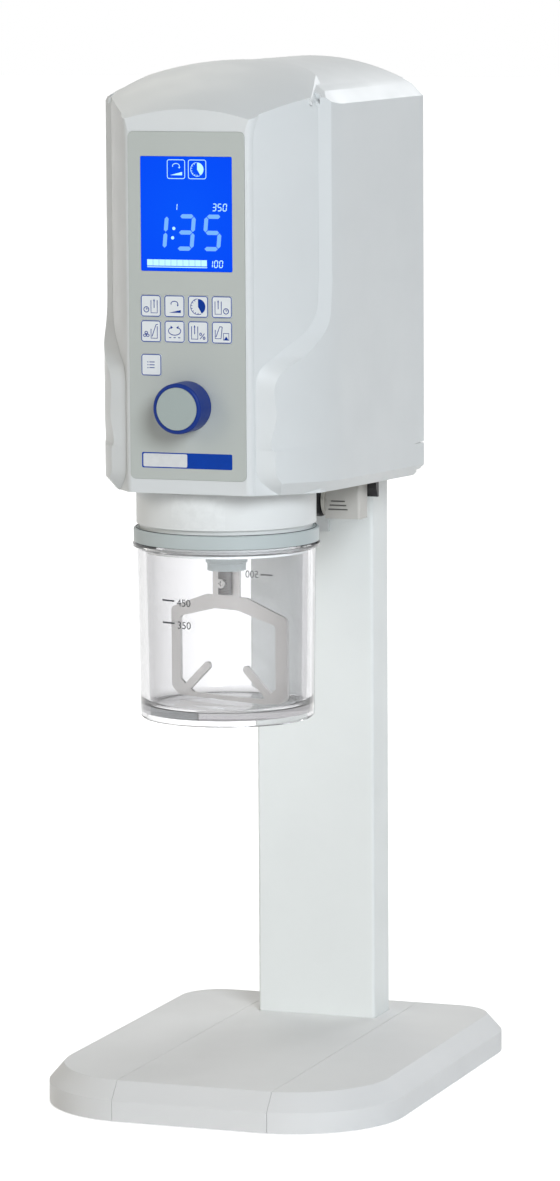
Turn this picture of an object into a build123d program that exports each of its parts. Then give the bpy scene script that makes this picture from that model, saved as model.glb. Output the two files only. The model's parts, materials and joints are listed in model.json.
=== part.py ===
from build123d import *
import os
from math import asin, cos, radians, sin, sqrt

# Vacuum mixer on a bench stand, in millimetres: +Z is up, the front faces -Y,
# and the origin lies on the bench under the middle of the machine.

# Base sizes
base_width = 230.0
base_depth = 298.0
base_back_y = 154.5
base_height = 24.6
base_edge_height = 13.8
base_bevel = 9.5
base_front_radius = 70.0
base_back_radius = 36.0
base_wall = 4.0
base_seam_x = 50.6
base_seam_gap = 0.3
skirt_gap = 0.8
plate_thickness = 5.0
rib_thickness = 2.5
rib_count = 4
foot_radius = 9.0
foot_height = 1.6
foot_side_inset = 42.0
foot_front_inset = 36.0
foot_back_inset = 22.0
base_screw_radius = 2.0
base_screw_head = 4.0
base_screw_bite = 8.0
base_screw_boss = 4.2
wing_screw_inset = 27.0
wing_front_screw_inset = 33.0
wing_front_screw_depth = 62.0
wing_back_screw_depth = 42.0
middle_screw_depth = 150.0
centre_screw_x = 30.0
centre_front_screw_depth = 40.0

# Column and hanger sizes
column_width = 80.0
column_depth = 30.7
column_wall = 2.5
column_corner = 2.2
column_front_y = 88.1
column_drop = 16.4
column_cap_height = 3.0
column_foot_height = 50.0
column_bolt_x = 24.0
column_bolt_radius = 4.0
column_bolt_head = 6.5
column_bolt_head_height = 3.0
hanger_thickness = 3.0
hanger_half_width = 35.0
hanger_rise = 39.8
hanger_height = 164.0
hanger_corner = 6.0
hanger_tab_half_width = 10.9
hanger_tab_length = 86.7
hook_x = 22.0
hook_width = 12.0
hook_rise = 140.0
hook_lip = 14.0
bracket_screw_x = 27.0
bracket_screw_rise = 18.0
bracket_screw_pitch = 102.0
bracket_screw_length = 12.0
bracket_screw_radius = 2.5
bracket_screw_head = 4.8

# Head sizes
head_front_y = -135.0
head_half_width = 74.8
head_wall = 3.0
head_bottom = 388.2
head_bottom_slope = 0.0405
head_margin = 14.7
roof_rise = 24.8
top_bevel = 8.0
bottom_bevel = 7.2
wrap_radius = 108.0
wrap_straight_depth = 73.2
cheek_radius = 220.0
cheek_half_width = 67.3
cheek_depth = 48.0
face_half_width = 38.3
face_corner_depth = 3.9
face_lean_radius = 54.0
face_lean_drop = 17.4
shoulder_radius = 30.0
shoulder_drop = 8.4
shoulder_turn = 75.0
dome_radius = 190.0
dome_centre_depth = 100.0
dome_lift = 0.7
dome_back_radius = 68.3
dome_back_depth = 39.0
front_back_depth = 58.0
shell_gap = 0.06
lip_inset = 10.0
screw_boss_radius = 5.5
screw_boss_length = 16.0

# Control panel sizes
panel_width = 74.4
panel_rise = 8.6
panel_margin = 14.8
panel_thickness = 0.8
panel_recess = 0.6
panel_corner = 3.2
panel_boss_x = 31.0
panel_boss_inset = 8.0
panel_boss_radius = 3.0
screen_width = 58.4
screen_height = 68.6
screen_rise = 14.4
screen_frame = 3.5
key_width = 13.0
key_height = 13.2
key_corner = 1.2
key_pitch = 15.17
key_shift = -0.35
key_block_height = 35.5
key_row_pitch = 15.25
program_key_rise = 31.1
key_stem_radius = 2.0
key_travel = 0.4
key_proud = 0.3
key_seat_depth = 0.9
contact_width = 6.0
contact_length = 3.0
chip_size = 20.0
chip_rise = 8.0
knob_rise = 44.5
knob_radius = 15.3
knob_length = 18.6
knob_edge = 1.6
knob_disc_radius = 12.8
knob_disc_thickness = 1.0
knob_shaft_radius = 3.0
knob_web = 4.0
board_depth = 7.5
board_thickness = 1.6
board_width = 68.0

# Rear plate sizes
back_plate_thickness = 2.0
vent_x = 56.0
vent_rise = 111.8
vent_pitch = 9.0
vent_width = 22.0
vent_height = 3.0
vent_count = 9
inlet_x = 57.0
inlet_rise = 27.8
inlet_width = 20.0
inlet_height = 27.0
inlet_depth = 16.0
switch_rise = 32.0
switch_width = 13.0
switch_height = 19.0
switch_depth = 11.0
rocker_half = 7.2
rocker_rest = -8.0
plate_screw_x = 67.0
plate_screw_rise = 7.8
plate_screw_drop = 20.4
plate_screw_radius = 1.9
plate_screw_bite = 8.0
plate_screw_head = 2.2

# Bowl, lid and paddle sizes
bowl_axis_depth = 64.0
bowl_height = 108.7
bowl_floor_rise = 7.9
bowl_rim_drop = 34.8
bowl_rim_radius = 57.6
bowl_rim_height = 3.2
bowl_top_radius = 55.1
bowl_foot_radius = 53.6
bowl_foot_ring = 3.6
bowl_wall = 5.6
bowl_floor_thickness = 4.2
bowl_corner = 5.0
lid_radius = 55.3
lid_wall = 3.0
lid_height = 42.2
lid_groove = 2.2
lid_ring_radius = 57.0
lid_ring_height = 8.6
lid_plug_depth = 8.9
lid_floor = 12.5
lid_boss_height = 6.0
hub_radius = 12.9
hub_height = 8.0
hub_edge = 0.8
shaft_radius = 5.35
shaft_collar = 2.6
shaft_collar_height = 1.8
shaft_hex = 8.0
shaft_drive = 19.0
shaft_below_screw = 7.0
screw_below_hub = 9.5
screw_radius = 1.5
screw_head_radius = 3.0
paddle_half_width = 46.5
paddle_thickness = 2.0
paddle_turn = -20.0
paddle_bar = 8.0
paddle_floor_gap = 1.6
paddle_neck = 10.6
paddle_finger_length = 28.0
paddle_finger_width = 5.0
paddle_finger_turn = 41.0
paddle_finger_x = 24.6
paddle_finger_rise = 12.6
paddle_shoulder_drop = 10.3
paddle_bottom_bar = 2.8
paddle_window_half = 9.5

# Drive sizes
lower_deck_rise = 7.8
deck_spacing = 53.0
deck_thickness = 3.0
chassis_half_width = 36.0
chassis_height = 164.0
deck_nose_half_width = 42.0
deck_nose_reach = 45.0
deck_half_width = 58.0
deck_shoulder = 5.0
deck_waist_y = 40.0
deck_neck_y = 62.0
upper_deck_half_width = 44.0
upper_deck_front = 38.0
upper_deck_back = 50.0
web_front = 30.0
rear_bolt_x = 28.0
rear_bolt_rise = 12.0
rear_bolt_drop = 10.0
spindle_radius = 6.0
spindle_drop = 25.0
spindle_length = 77.0
spindle_nose_radius = 8.5
spindle_nose_height = 11.0
bearing_radius = 11.0
bearing_height = 8.0
bearing_housing_radius = 19.8
bearing_housing_drop = 12.0
bearing_housing_length = 40.0
bearing_flange_radius = 31.0
bolt_radius = 2.0
bolt_head_radius = 3.5
bolt_head_height = 2.8
bolt_circle = 25.0
motor_y = 10.0
motor_radius = 30.0
motor_height = 92.0
motor_collar = 12.0
motor_slots = 12
motor_shaft_radius = 4.0
drive_pulley_radius = 24.0
motor_pulley_radius = 9.0
belt_width = 9.0
belt_thickness = 1.6
pulley_rise = 35.0
pulley_flange = 1.5

# Pump, hose and filter sizes
pump_low_x = -32.0
pump_high_x = 8.0
pump_front_y = 44.0
pump_back_y = 76.0
pump_height = 34.0
pump_motor_radius = 14.0
pump_motor_height = 32.0
pump_port_x = -12.0
pump_port_y = 60.0
pump_port_radius = 2.5
pump_port_height = 8.0
power_board_low_x = 12.0
power_board_high_x = 34.0
hose_radius = 4.0
hose_x = 50.0
hose_drop = 3.0
hose_rise = 182.0
hose_bend = 30.0
filter_axis_y = 22.0
filter_low_x = 34.0
filter_high_x = 57.3
filter_half_depth = 7.5
filter_drop = 29.8
filter_height = 22.5
filter_wall = 1.6
filter_corner = 2.2
filter_groove_count = 3
filter_groove_x = 8.4
filter_groove_width = 9.4
filter_groove_growth = 1.8
filter_groove_rise = 11.0
filter_groove_pitch = 2.6
filter_groove_depth = 0.5
filter_nipple_radius = 4.0
holder_neck_radius = 6.0
holder_lip = 0.8
disc_radius = 10.2
holder_low_x = 27.5
holder_high_x = 30.8
holder_arm_high_x = 62.5
holder_arm_rise = 12.6
holder_arm_gap = 0.4
holder_arm_thickness = 5.0
bottom_cover_thickness = 1.5

# Clearances
running_gap = 0.05
bearing_gap = 0.02
free_gap = 0.3
fit_gap = 0.1
panel_gap = 0.15
cutout_gap = 0.2
hub_gap = 0.4
dock_gap = 2.0

# How far cutting bodies reach past what they cut
past = 1.0
far_side = 100.0
far_low = 300.0
far_high = 700.0

# Heights stack up from the underside of the head: knob, keys, screen, roof
panel_bottom = head_bottom + panel_rise
knob_height = panel_bottom + knob_rise
program_key_top = knob_height + program_key_rise
key_top_row = program_key_top + key_block_height
screen_bottom = key_top_row + screen_rise
screen_top = screen_bottom + screen_height
panel_top = screen_top + panel_margin
head_side_top = panel_top + head_margin
head_crown = head_side_top + roof_rise
dome_crown = head_crown + dome_lift
face_lean_start = head_side_top - face_lean_drop
shoulder_start = head_side_top - shoulder_drop
column_top = head_side_top - column_drop
hanger_bottom = head_bottom + hanger_rise
hanger_top = hanger_bottom + hanger_height
hanger_tab_bottom = hanger_bottom - hanger_tab_length
hook_z = hanger_bottom + hook_rise
bracket_screw_low = hanger_bottom + bracket_screw_rise
bracket_screw_high = bracket_screw_low + bracket_screw_pitch
vent_low = head_bottom + vent_rise
inlet_z = head_bottom + inlet_rise
switch_z = inlet_z + switch_rise
plate_screw_low = head_bottom + plate_screw_rise
plate_screw_high = head_side_top - plate_screw_drop
bowl_rim = head_bottom - bowl_rim_drop
bowl_foot = bowl_rim - bowl_height
bowl_floor = bowl_foot + bowl_floor_rise
paddle_bottom = bowl_floor + paddle_floor_gap
lower_deck = head_bottom + lower_deck_rise
upper_deck = lower_deck + deck_spacing
chassis_top = lower_deck + chassis_height
spindle_bottom = lower_deck - spindle_drop
spindle_top = spindle_bottom + spindle_length
pulley_bottom = lower_deck + pulley_rise
hose_bottom = lower_deck - hose_drop
hose_crest = hose_bottom + hose_rise
filter_bottom = head_bottom - filter_drop
filter_top = filter_bottom + filter_height
holder_arm_bottom = filter_bottom + holder_arm_rise

# Depths
base_front_y = base_back_y - base_depth
bowl_axis_y = head_front_y + bowl_axis_depth
dome_centre_y = head_front_y + dome_centre_depth
filter_front_y = filter_axis_y - filter_half_depth
filter_back_y = filter_axis_y + filter_half_depth
holder_arm_front = filter_back_y + holder_arm_gap
hose_y = holder_arm_front + holder_arm_thickness / 2
plate_bottom = foot_height
plate_top = plate_bottom + plate_thickness
column_back_y = column_front_y + column_depth
column_mid_y = (column_front_y + column_back_y) / 2
head_depth = column_front_y - head_front_y
hanger_front_y = column_front_y - hanger_thickness
back_plate_back_y = hanger_front_y - free_gap
back_plate_front_y = back_plate_back_y - back_plate_thickness
panel_front_y = head_front_y + panel_recess - panel_thickness
panel_back_y = head_front_y + panel_recess
board_front_y = head_front_y + board_depth
board_back_y = board_front_y + board_thickness
panel_mid_z = (panel_bottom + panel_top) / 2
screen_mid_z = (screen_bottom + screen_top) / 2
bolt_grip = deck_thickness + back_plate_thickness
cover_rise = head_wall + bottom_bevel / 2
filter_mid_z = (filter_bottom + filter_top) / 2
lid_plug_bottom = bowl_rim - lid_plug_depth
lid_floor_top = lid_plug_bottom + lid_floor
lid_top = bowl_rim + lid_height
hub_bottom = lid_plug_bottom - hub_height
lid_boss_top = lid_floor_top + lid_boss_height
collar_top = lid_boss_top + cutout_gap + shaft_collar_height
shaft_top = collar_top + shaft_drive
screw_height = hub_bottom - screw_below_hub
shaft_bottom = screw_height - shaft_below_screw
paddle_neck_top = hub_bottom - hub_gap


def save(shape, name):
    export_step(shape, f"parts/{name}.step")


def box_between(low, high):
    size = [high[i] - low[i] for i in range(3)]
    middle = [(high[i] + low[i]) / 2 for i in range(3)]
    return Pos(*middle) * Box(*size)


def rod(radius, bottom, top, x=0.0, y=0.0):
    return Pos(x, y, (bottom + top) / 2) * Cylinder(radius, top - bottom)


def rod_x(radius, low, high, y, z):
    return Pos((low + high) / 2, y, z) * Rot(0, 90, 0) * Cylinder(radius, high - low)


def rod_y(radius, front, back, x=0.0, z=0.0):
    return Pos(x, (front + back) / 2, z) * Rot(90, 0, 0) * Cylinder(radius, back - front)


def rounded_slab(x, z, width, height, corner, low_y, high_y):
    sheet = RectangleRounded(width, height, corner)
    return extrude(Pos(x, low_y, z) * (Plane.XZ * sheet), high_y - low_y, dir=(0, 1, 0))


def group(solids):
    return Compound(children=list(solids))


# Base: three covers on one steel plate

wing_screws = [(base_width / 2 - wing_front_screw_inset, base_front_y + wing_front_screw_depth),
               (base_width / 2 - wing_screw_inset, base_front_y + middle_screw_depth),
               (base_width / 2 - wing_screw_inset, base_back_y - wing_back_screw_depth)]
centre_screws = [(centre_screw_x, base_front_y + centre_front_screw_depth),
                 (centre_screw_x, base_front_y + middle_screw_depth)]
column_bolt_places = [(-column_bolt_x, column_mid_y), (column_bolt_x, column_mid_y)]


def base_outline(inset, height):
    half = base_width / 2 - inset
    front = base_front_y + inset
    back = base_back_y - inset
    outline = Plane.XY.offset(height) * make_face(
        Polyline((-half, front), (half, front), (half, back), (-half, back), close=True))
    corners = outline.vertices().sort_by(Axis.Y)
    outline = fillet(corners[:2], base_front_radius - inset)
    corners = [v for v in outline.vertices() if v.Y > back - past]
    return fillet(corners, base_back_radius - inset)


def base_block(inset, bottom, edge, top):
    skirt = extrude(base_outline(inset, bottom), edge - bottom)
    bevel = loft([base_outline(inset, edge), base_outline(inset + base_bevel, top)], ruled=True)
    return skirt + bevel


def base_cover(low_x, high_x, screws):
    slab = box_between((low_x, base_front_y - past, 0), (high_x, base_back_y + past, base_height + past))
    room = box_between((low_x + base_wall, base_front_y, plate_top),
                       (high_x - base_wall, base_back_y, base_height))
    whole = base_block(0, skirt_gap, base_edge_height, base_height)
    hollow = base_block(base_wall, skirt_gap - past, base_edge_height - base_wall / 2,
                        base_height - base_wall)
    pocket = hollow & room
    step = base_depth / (rib_count + 1)
    for i in range(rib_count):
        rib_y = base_front_y + step * (i + 1)
        pocket -= box_between((low_x, rib_y, 0), (high_x, rib_y + rib_thickness, base_height))
    for x, y in screws:
        pocket -= rod(base_screw_boss, 0, base_height, x, y)
    sunk = extrude(base_outline(base_wall, skirt_gap - past), plate_top - skirt_gap + past)
    cover = (whole & slab) - pocket - sunk
    for x, y in screws:
        cover -= rod(base_screw_radius + fit_gap, 0, plate_top + base_screw_bite + past, x, y)
    return cover


def column_block(grow, bottom, top):
    return box_between((-column_width / 2 - grow, column_front_y - grow, bottom),
                       (column_width / 2 + grow, column_back_y + grow, top))


def base_parts():
    edge = base_seam_x - base_seam_gap / 2
    centre = base_cover(-edge, edge, [(s * x, y) for x, y in centre_screws for s in (-1, 1)])
    collar = column_block(base_wall, plate_top, base_height - base_wall)
    centre = centre + collar - column_block(free_gap, 0, base_height + past)
    save(centre, "base_center")
    wing = base_cover(base_seam_x + base_seam_gap / 2, base_width / 2 + past, wing_screws)
    save(wing, "base_wing_right")
    save(mirror(wing, Plane.YZ), "base_wing_left")

    places = [(s * x, y) for x, y in wing_screws + centre_screws for s in (-1, 1)]
    plate = extrude(base_outline(base_wall + free_gap, plate_bottom), plate_thickness)
    screws = []
    head_middle = plate_bottom + base_screw_head / 4
    for x, y in places:
        shank = rod(base_screw_radius, plate_bottom, plate_top + base_screw_bite, x, y)
        screws.append(shank + Pos(x, y, head_middle) * Cone(
            base_screw_head, base_screw_radius, base_screw_head / 2))
        plate -= rod(base_screw_radius + fit_gap, 0, plate_top + past, x, y)
        plate -= Pos(x, y, head_middle) * Cone(
            base_screw_head + fit_gap, base_screw_radius + fit_gap, base_screw_head / 2)
    for x, y in column_bolt_places:
        plate -= rod(column_bolt_radius + fit_gap, 0, plate_top + past, x, y)
        plate -= rod(column_bolt_head + fit_gap, 0, plate_bottom + column_bolt_head_height, x, y)
    save(plate, "base_plate")
    save(group(screws), "base_screws")

    rows = (base_front_y + foot_front_inset, (base_front_y + base_back_y) / 2,
            base_back_y - foot_back_inset)
    feet = [(s * (base_width / 2 - foot_side_inset), y) for s in (-1, 1) for y in rows]
    save(group(rod(foot_radius, 0, foot_height, x, y) for x, y in feet), "rubber_feet")


# Column: rectangular tube on a foot block, with an end cap

bracket_screw_places = [(s * bracket_screw_x, z) for s in (-1, 1)
                        for z in (bracket_screw_low, bracket_screw_high)]


def column_section(inset, bottom, top):
    corner = max(column_corner - inset, 0.4)
    profile = RectangleRounded(column_width - 2 * inset, column_depth - 2 * inset, corner)
    return extrude(Pos(0, column_mid_y, bottom) * profile, top - bottom)


def column_parts():
    tube = column_section(0, plate_top, column_top)
    tube -= column_section(column_wall, 0, column_top + past)
    for x, z in bracket_screw_places:
        tube -= rod_y(bracket_screw_radius + fit_gap, column_front_y - past,
                      column_front_y + 2 * column_wall, x, z)
    save(tube, "column_tube")

    foot_wall = 5.5
    foot_floor = 12.0
    foot_top = plate_top + column_foot_height
    foot = column_section(column_wall + fit_gap, plate_top, foot_top)
    foot -= column_section(column_wall + foot_wall, plate_top + foot_floor, foot_top + past)
    for x, y in column_bolt_places:
        foot -= rod(column_bolt_radius + fit_gap, 0, plate_top + foot_floor - past, x, y)
    save(foot, "column_foot")

    head_top = plate_bottom + column_bolt_head_height
    bolts = [rod(column_bolt_radius, head_top, plate_top + foot_floor - 2 * past, x, y)
             + rod(column_bolt_head, plate_bottom, head_top, x, y)
             for x, y in column_bolt_places]
    save(group(bolts), "column_bolts")

    plug_depth = 10.0
    plug_wall = 2.5
    cap = column_section(0, column_top, column_top + column_cap_height)
    cap += column_section(column_wall + fit_gap, column_top - plug_depth, column_top)
    cap -= column_section(column_wall + plug_wall, column_top - plug_depth - past, column_top)
    save(cap, "column_cap")


# Hanger: steel bracket between the column and the head

def hanger_parts():
    back = column_front_y
    plate = box_between((-hanger_half_width, hanger_front_y, hanger_bottom),
                        (hanger_half_width, back, hanger_top))
    plate = fillet(plate.edges().filter_by(Axis.Y), hanger_corner)
    tab = box_between((-hanger_tab_half_width, hanger_front_y, hanger_tab_bottom),
                      (hanger_tab_half_width, back, hanger_bottom + hanger_corner))
    hanger = plate + tab
    lip_front = back_plate_front_y - free_gap - hanger_thickness
    for s in (-1, 1):
        low_x = s * hook_x - hook_width / 2
        high_x = s * hook_x + hook_width / 2
        hanger += box_between((low_x, lip_front, hook_z),
                              (high_x, hanger_front_y, hook_z + hanger_thickness))
        hanger += box_between((low_x, lip_front, hook_z),
                              (high_x, lip_front + hanger_thickness, hook_z + hook_lip))
    screws = []
    sink = bracket_screw_head - bracket_screw_radius
    for x, z in bracket_screw_places:
        place = Pos(x, hanger_front_y + sink / 2, z) * Rot(-90, 0, 0)
        shank = rod_y(bracket_screw_radius, hanger_front_y, hanger_front_y + bracket_screw_length, x, z)
        screws.append(shank + place * Cone(bracket_screw_head, bracket_screw_radius, sink))
        hanger -= rod_y(bracket_screw_radius + fit_gap, hanger_front_y - past, back + past, x, z)
        hanger -= place * Cone(bracket_screw_head + fit_gap, bracket_screw_radius + fit_gap, sink)
    save(hanger, "hanger_bracket")
    save(group(screws), "bracket_screws")


# Head outlines: plan curves measured back from the front face

def both_sides(edges):
    half = Curve() + edges
    return make_face(half + mirror(half, Plane.YZ))


def plan(edges, height):
    return Pos(0, head_front_y, height) * both_sides(edges)


def wrap_x(depth):
    rise = wrap_straight_depth - depth
    return head_half_width - wrap_radius + sqrt(wrap_radius ** 2 - rise ** 2)


def cheek_centre():
    # The cheek arc runs through the corner of the face and the back of the cheek.
    ax, ay = face_half_width + 3.0, face_corner_depth
    bx, by = cheek_half_width, cheek_depth
    mx, my = (ax + bx) / 2, (ay + by) / 2
    half = sqrt((bx - ax) ** 2 + (by - ay) ** 2) / 2
    rise = sqrt(cheek_radius ** 2 - half ** 2)
    return mx - rise * (by - ay) / (2 * half), my + rise * (bx - ax) / (2 * half)


def cheek_x(depth):
    cx, cy = cheek_centre()
    return cx + sqrt(cheek_radius ** 2 - (cy - depth) ** 2)


def front_plan(height, fullness, grow):
    # A fuller outline has a rounder corner between the face and the cheek.
    start = (face_half_width - 1.5 - 3.0 * fullness, -grow)
    corner_depth = face_corner_depth + 12.0 * fullness
    corner = (cheek_x(corner_depth) + 1.2 * grow, corner_depth)
    bend = (face_half_width + 1.5 + 5.4 * fullness + 0.8 * grow,
            face_corner_depth / 3 + 2.6 * fullness - 0.7 * grow)
    middle = (corner_depth + cheek_depth) / 2
    edge_x = cheek_half_width + grow
    edges = [
        Line((0, -grow), start),
        ThreePointArc(start, bend, corner),
        ThreePointArc(corner, (cheek_x(middle) + 1.15 * grow, middle), (edge_x, cheek_depth)),
        Line((edge_x, cheek_depth), (edge_x, front_back_depth)),
        Line((edge_x, front_back_depth), (0, front_back_depth)),
    ]
    return plan(edges, height)


def wrap_plan(height, outer, inner):
    # Outer and inner are the setbacks of the two edges of the sloped band.
    middle = (outer + wrap_straight_depth) / 2
    inner_x = cheek_x(inner) - 0.5
    tuck = 14.0
    tuck_depth = 18.0
    edges = [
        Line((0, inner + tuck_depth), (inner_x - tuck, inner + tuck_depth)),
        Line((inner_x - tuck, inner + tuck_depth), (inner_x, inner)),
        Line((inner_x, inner), (wrap_x(outer), outer)),
        ThreePointArc((wrap_x(outer), outer), (wrap_x(middle), middle),
                      (head_half_width, wrap_straight_depth)),
        Line((head_half_width, wrap_straight_depth), (head_half_width, head_depth)),
        Line((head_half_width, head_depth), (0, head_depth)),
    ]
    return plan(edges, height)


def front_room_plan(height, inset, back):
    start = (cheek_x(inset) - 1.2 * inset, inset)
    middle = (inset + cheek_depth) / 2
    edge_x = cheek_half_width - inset
    edges = [
        Line((0, inset), start),
        ThreePointArc(start, (cheek_x(middle) - 1.12 * inset, middle), (edge_x, cheek_depth)),
        Line((edge_x, cheek_depth), (edge_x, back)),
        Line((edge_x, back), (0, back)),
    ]
    return plan(edges, height)


def wrap_room_face(inset, front):
    start = (wrap_x(front) - 1.04 * inset, front)
    middle = (front + wrap_straight_depth) / 2
    edge_x = head_half_width - inset
    edges = [
        Line((0, front), start),
        ThreePointArc(start, (wrap_x(middle) - inset, middle), (edge_x, wrap_straight_depth)),
        Line((edge_x, wrap_straight_depth), (edge_x, head_depth + past)),
        Line((edge_x, head_depth + past), (0, head_depth + past)),
    ]
    return both_sides(edges)


def wrap_room(inset, front):
    room = Pos(0, head_front_y, far_low) * wrap_room_face(inset, front)
    return extrude(room, far_high - far_low)


def bottom_flare():
    # The bevel round the underside, on the plane of the sloping bottom.
    tilt = Plane(origin=(0, head_front_y, head_bottom), x_dir=(1, 0, 0),
                 z_dir=(0, head_bottom_slope, 1))
    reach = 14.0
    low = tilt * wrap_room_face(bottom_bevel, 0.0)
    high = tilt.offset(bottom_bevel + reach) * wrap_room_face(-reach, 0.0)
    above = box_between((-far_side, head_front_y - past, head_bottom + reach - past),
                        (far_side, column_front_y + past, far_high))
    return loft([low, high], ruled=True) + above


def roof_profile(inset):
    half = head_half_width - inset
    side_top = head_side_top - 0.4 * inset
    edge = (half - top_bevel, side_top + top_bevel)
    edges = Curve() + [
        Line((-half, far_low), (-half, side_top)),
        Line((-half, side_top), (-edge[0], edge[1])),
        ThreePointArc((-edge[0], edge[1]), (0, head_crown - inset), edge),
        Line(edge, (half, side_top)),
        Line((half, side_top), (half, far_low)),
        Line((half, far_low), (-half, far_low)),
    ]
    return make_face(Plane.XZ * edges)


def roof_prism(inset, front, back):
    return extrude(Pos(0, front, 0) * roof_profile(inset), back - front, dir=(0, 1, 0))


def above_bottom(rise):
    # Everything above the sloping underside of the head, raised by the given amount.
    reach = 40.0
    front = head_bottom + rise
    back = front - head_bottom_slope * head_depth
    side = Polyline((head_front_y - reach, front + head_bottom_slope * reach),
                    (head_front_y - reach, far_high), (column_front_y + reach, far_high),
                    (column_front_y + reach, back - head_bottom_slope * reach), close=True)
    return extrude(make_face(Plane.YZ * side), far_side, both=True)


def dome(inset):
    return Pos(0, dome_centre_y, dome_crown - dome_radius) * Sphere(dome_radius - inset)


def shoulders(grow):
    # Towards the dome the cheeks curve in.
    edge_x = cheek_half_width + grow
    centre_x = edge_x - shoulder_radius
    half_turn = radians(shoulder_turn / 2)
    turn = radians(shoulder_turn)
    bend = (centre_x + shoulder_radius * cos(half_turn), shoulder_start + shoulder_radius * sin(half_turn))
    end = (centre_x + shoulder_radius * cos(turn), shoulder_start + shoulder_radius * sin(turn))
    edges = [
        Line((0, far_low), (edge_x, far_low)),
        Line((edge_x, far_low), (edge_x, shoulder_start)),
        ThreePointArc((edge_x, shoulder_start), bend, end),
        Line(end, (end[0], far_high)),
        Line((end[0], far_high), (0, far_high)),
    ]
    return extrude(Pos(0, head_front_y - past, 0) * (Plane.XZ * both_sides(edges)),
                   head_depth, dir=(0, 1, 0))


def leaning_face(grow):
    # Towards the dome the face leans back.
    front = head_front_y - grow
    turn = radians(22.5)
    bend = (front + face_lean_radius * (1 - cos(turn)), face_lean_start + face_lean_radius * sin(turn))
    end = (front + face_lean_radius * (1 - cos(2 * turn)),
           face_lean_start + face_lean_radius * sin(2 * turn))
    edges = Curve() + [
        Line((column_front_y, far_low), (front, far_low)),
        Line((front, far_low), (front, face_lean_start)),
        ThreePointArc((front, face_lean_start), bend, end),
        Line(end, (end[0], far_high)),
        Line((end[0], far_high), (column_front_y, far_high)),
        Line((column_front_y, far_high), (column_front_y, far_low)),
    ]
    return extrude(make_face(Plane.YZ * edges), far_side, both=True)


# Rises of the wrap above the underside: setback of the outer edge, then of the inner edge
wrap_steps = (
    (131.8, 54.0, 46.0),
    (117.8, 53.6, 45.4),
    (108.8, 52.8, 44.0),
    (101.8, 50.6, 40.4),
    (91.8, 41.0, 28.2),
    (81.8, 27.0, 13.6),
    (73.8, 12.6, 5.8),
    (66.8, 8.3, 4.1),
    (56.8, 8.0, 4.0),
    (41.8, 8.0, 4.0),
    (26.8, 8.0, 4.0),
)
wrap_foot = (
    (26.8, 8.0, 4.0),
    (18.8, 8.0, 4.0),
    (14.8, 8.1, 4.2),
    (11.8, 8.6, 5.0),
    (8.8, 10.1, 6.6),
    (5.8, 12.6, 9.1),
    (2.8, 16.3, 12.7),
    (-0.2, 21.0, 17.0),
    (-12.2, 30.0, 26.0),
)
# Drops below the top of the sides where the corners of the front shell grow fuller
corner_steps = ((20.4, 0.0), (13.4, 0.08), (7.4, 0.22), (1.4, 0.4), (-4.6, 0.5))
front_low = head_bottom - 18.0


def front_body(grow):
    steps = [(head_side_top - drop, full) for drop, full in corner_steps]
    low = extrude(front_plan(front_low, 0.0, grow), steps[0][0] - front_low)
    corners = loft([front_plan(height, full, grow) for height, full in steps])
    high = extrude(front_plan(*steps[-1], grow), 40.0)
    return (low + corners + high) & leaning_face(grow)


def dome_cap(gap):
    # The dome runs back over the rear roof to a round edge.
    half = cheek_half_width + gap
    back = dome_back_radius + gap
    diagonal = back * cos(radians(45))
    front = cheek_depth - 8.0
    edges = [
        Line((0, front), (half, front)),
        Line((half, front), (half, cheek_depth)),
        ThreePointArc((half, cheek_depth), (diagonal, dome_back_depth + diagonal),
                      (0, dome_back_depth + back)),
    ]
    return extrude(plan(edges, shoulder_start), 60.0) - dome(head_wall + gap)


def front_shell(gap):
    return (front_body(gap) + dome_cap(gap)) & shoulders(gap)


def panel_outline(grow, low_y, high_y):
    return rounded_slab(0, panel_mid_z, panel_width + 2 * grow, panel_top - panel_bottom + 2 * grow,
                        panel_corner + grow, low_y, high_y)


key_names = ("premix_key", "speed_key", "time_key", "postmix_key",
             "stir_key", "reverse_key", "vacuum_key", "vessel_key", "program_key")


def key_places():
    first = -1.5 * key_pitch + key_shift
    top = key_top_row - key_height / 2
    places = [(first + key_pitch * (i % 4), top - key_row_pitch * (i // 4)) for i in range(8)]
    return places + [(first, program_key_top - key_height / 2)]


def key_and_screen_cuts(grow, low_y, high_y):
    cuts = [rounded_slab(0, screen_mid_z, screen_width + 2 * grow, screen_height + 2 * grow,
                         1.0, low_y, high_y)]
    for x, z in key_places():
        cuts.append(rounded_slab(x, z, key_width + 2 * grow, key_height + 2 * grow,
                                 key_corner + fit_gap, low_y, high_y))
    return cuts


def front_housing():
    body = front_shell(0.0) & dome(0.0) & above_bottom(0.0)
    open_back = front_back_depth + 20.0
    room = extrude(front_room_plan(front_low, head_wall, open_back), far_high - front_low)
    room = room & dome(head_wall) & above_bottom(head_wall)
    mouth = extrude(front_room_plan(front_low, lip_inset, open_back), 60.0)
    body = body - room - mouth - rod(lid_radius + dock_gap, far_low, head_bottom + 12.0, 0, bowl_axis_y)
    wall_back = head_front_y + head_wall
    body -= panel_outline(panel_gap, head_front_y - past, panel_back_y)
    for s in (-1, 1):
        for z in (panel_bottom + panel_boss_inset, panel_top - panel_boss_inset):
            body += rod_y(panel_boss_radius, wall_back, board_front_y, s * panel_boss_x, z)
    for cut in key_and_screen_cuts(2 * cutout_gap, head_front_y - past, wall_back + past):
        body -= cut
    return body - rod_y(knob_shaft_radius + 0.6, head_front_y - past, wall_back + past, 0, knob_height)


plate_screw_places = [(s * plate_screw_x, z) for s in (-1, 1)
                      for z in (plate_screw_low, plate_screw_high)]


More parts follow.
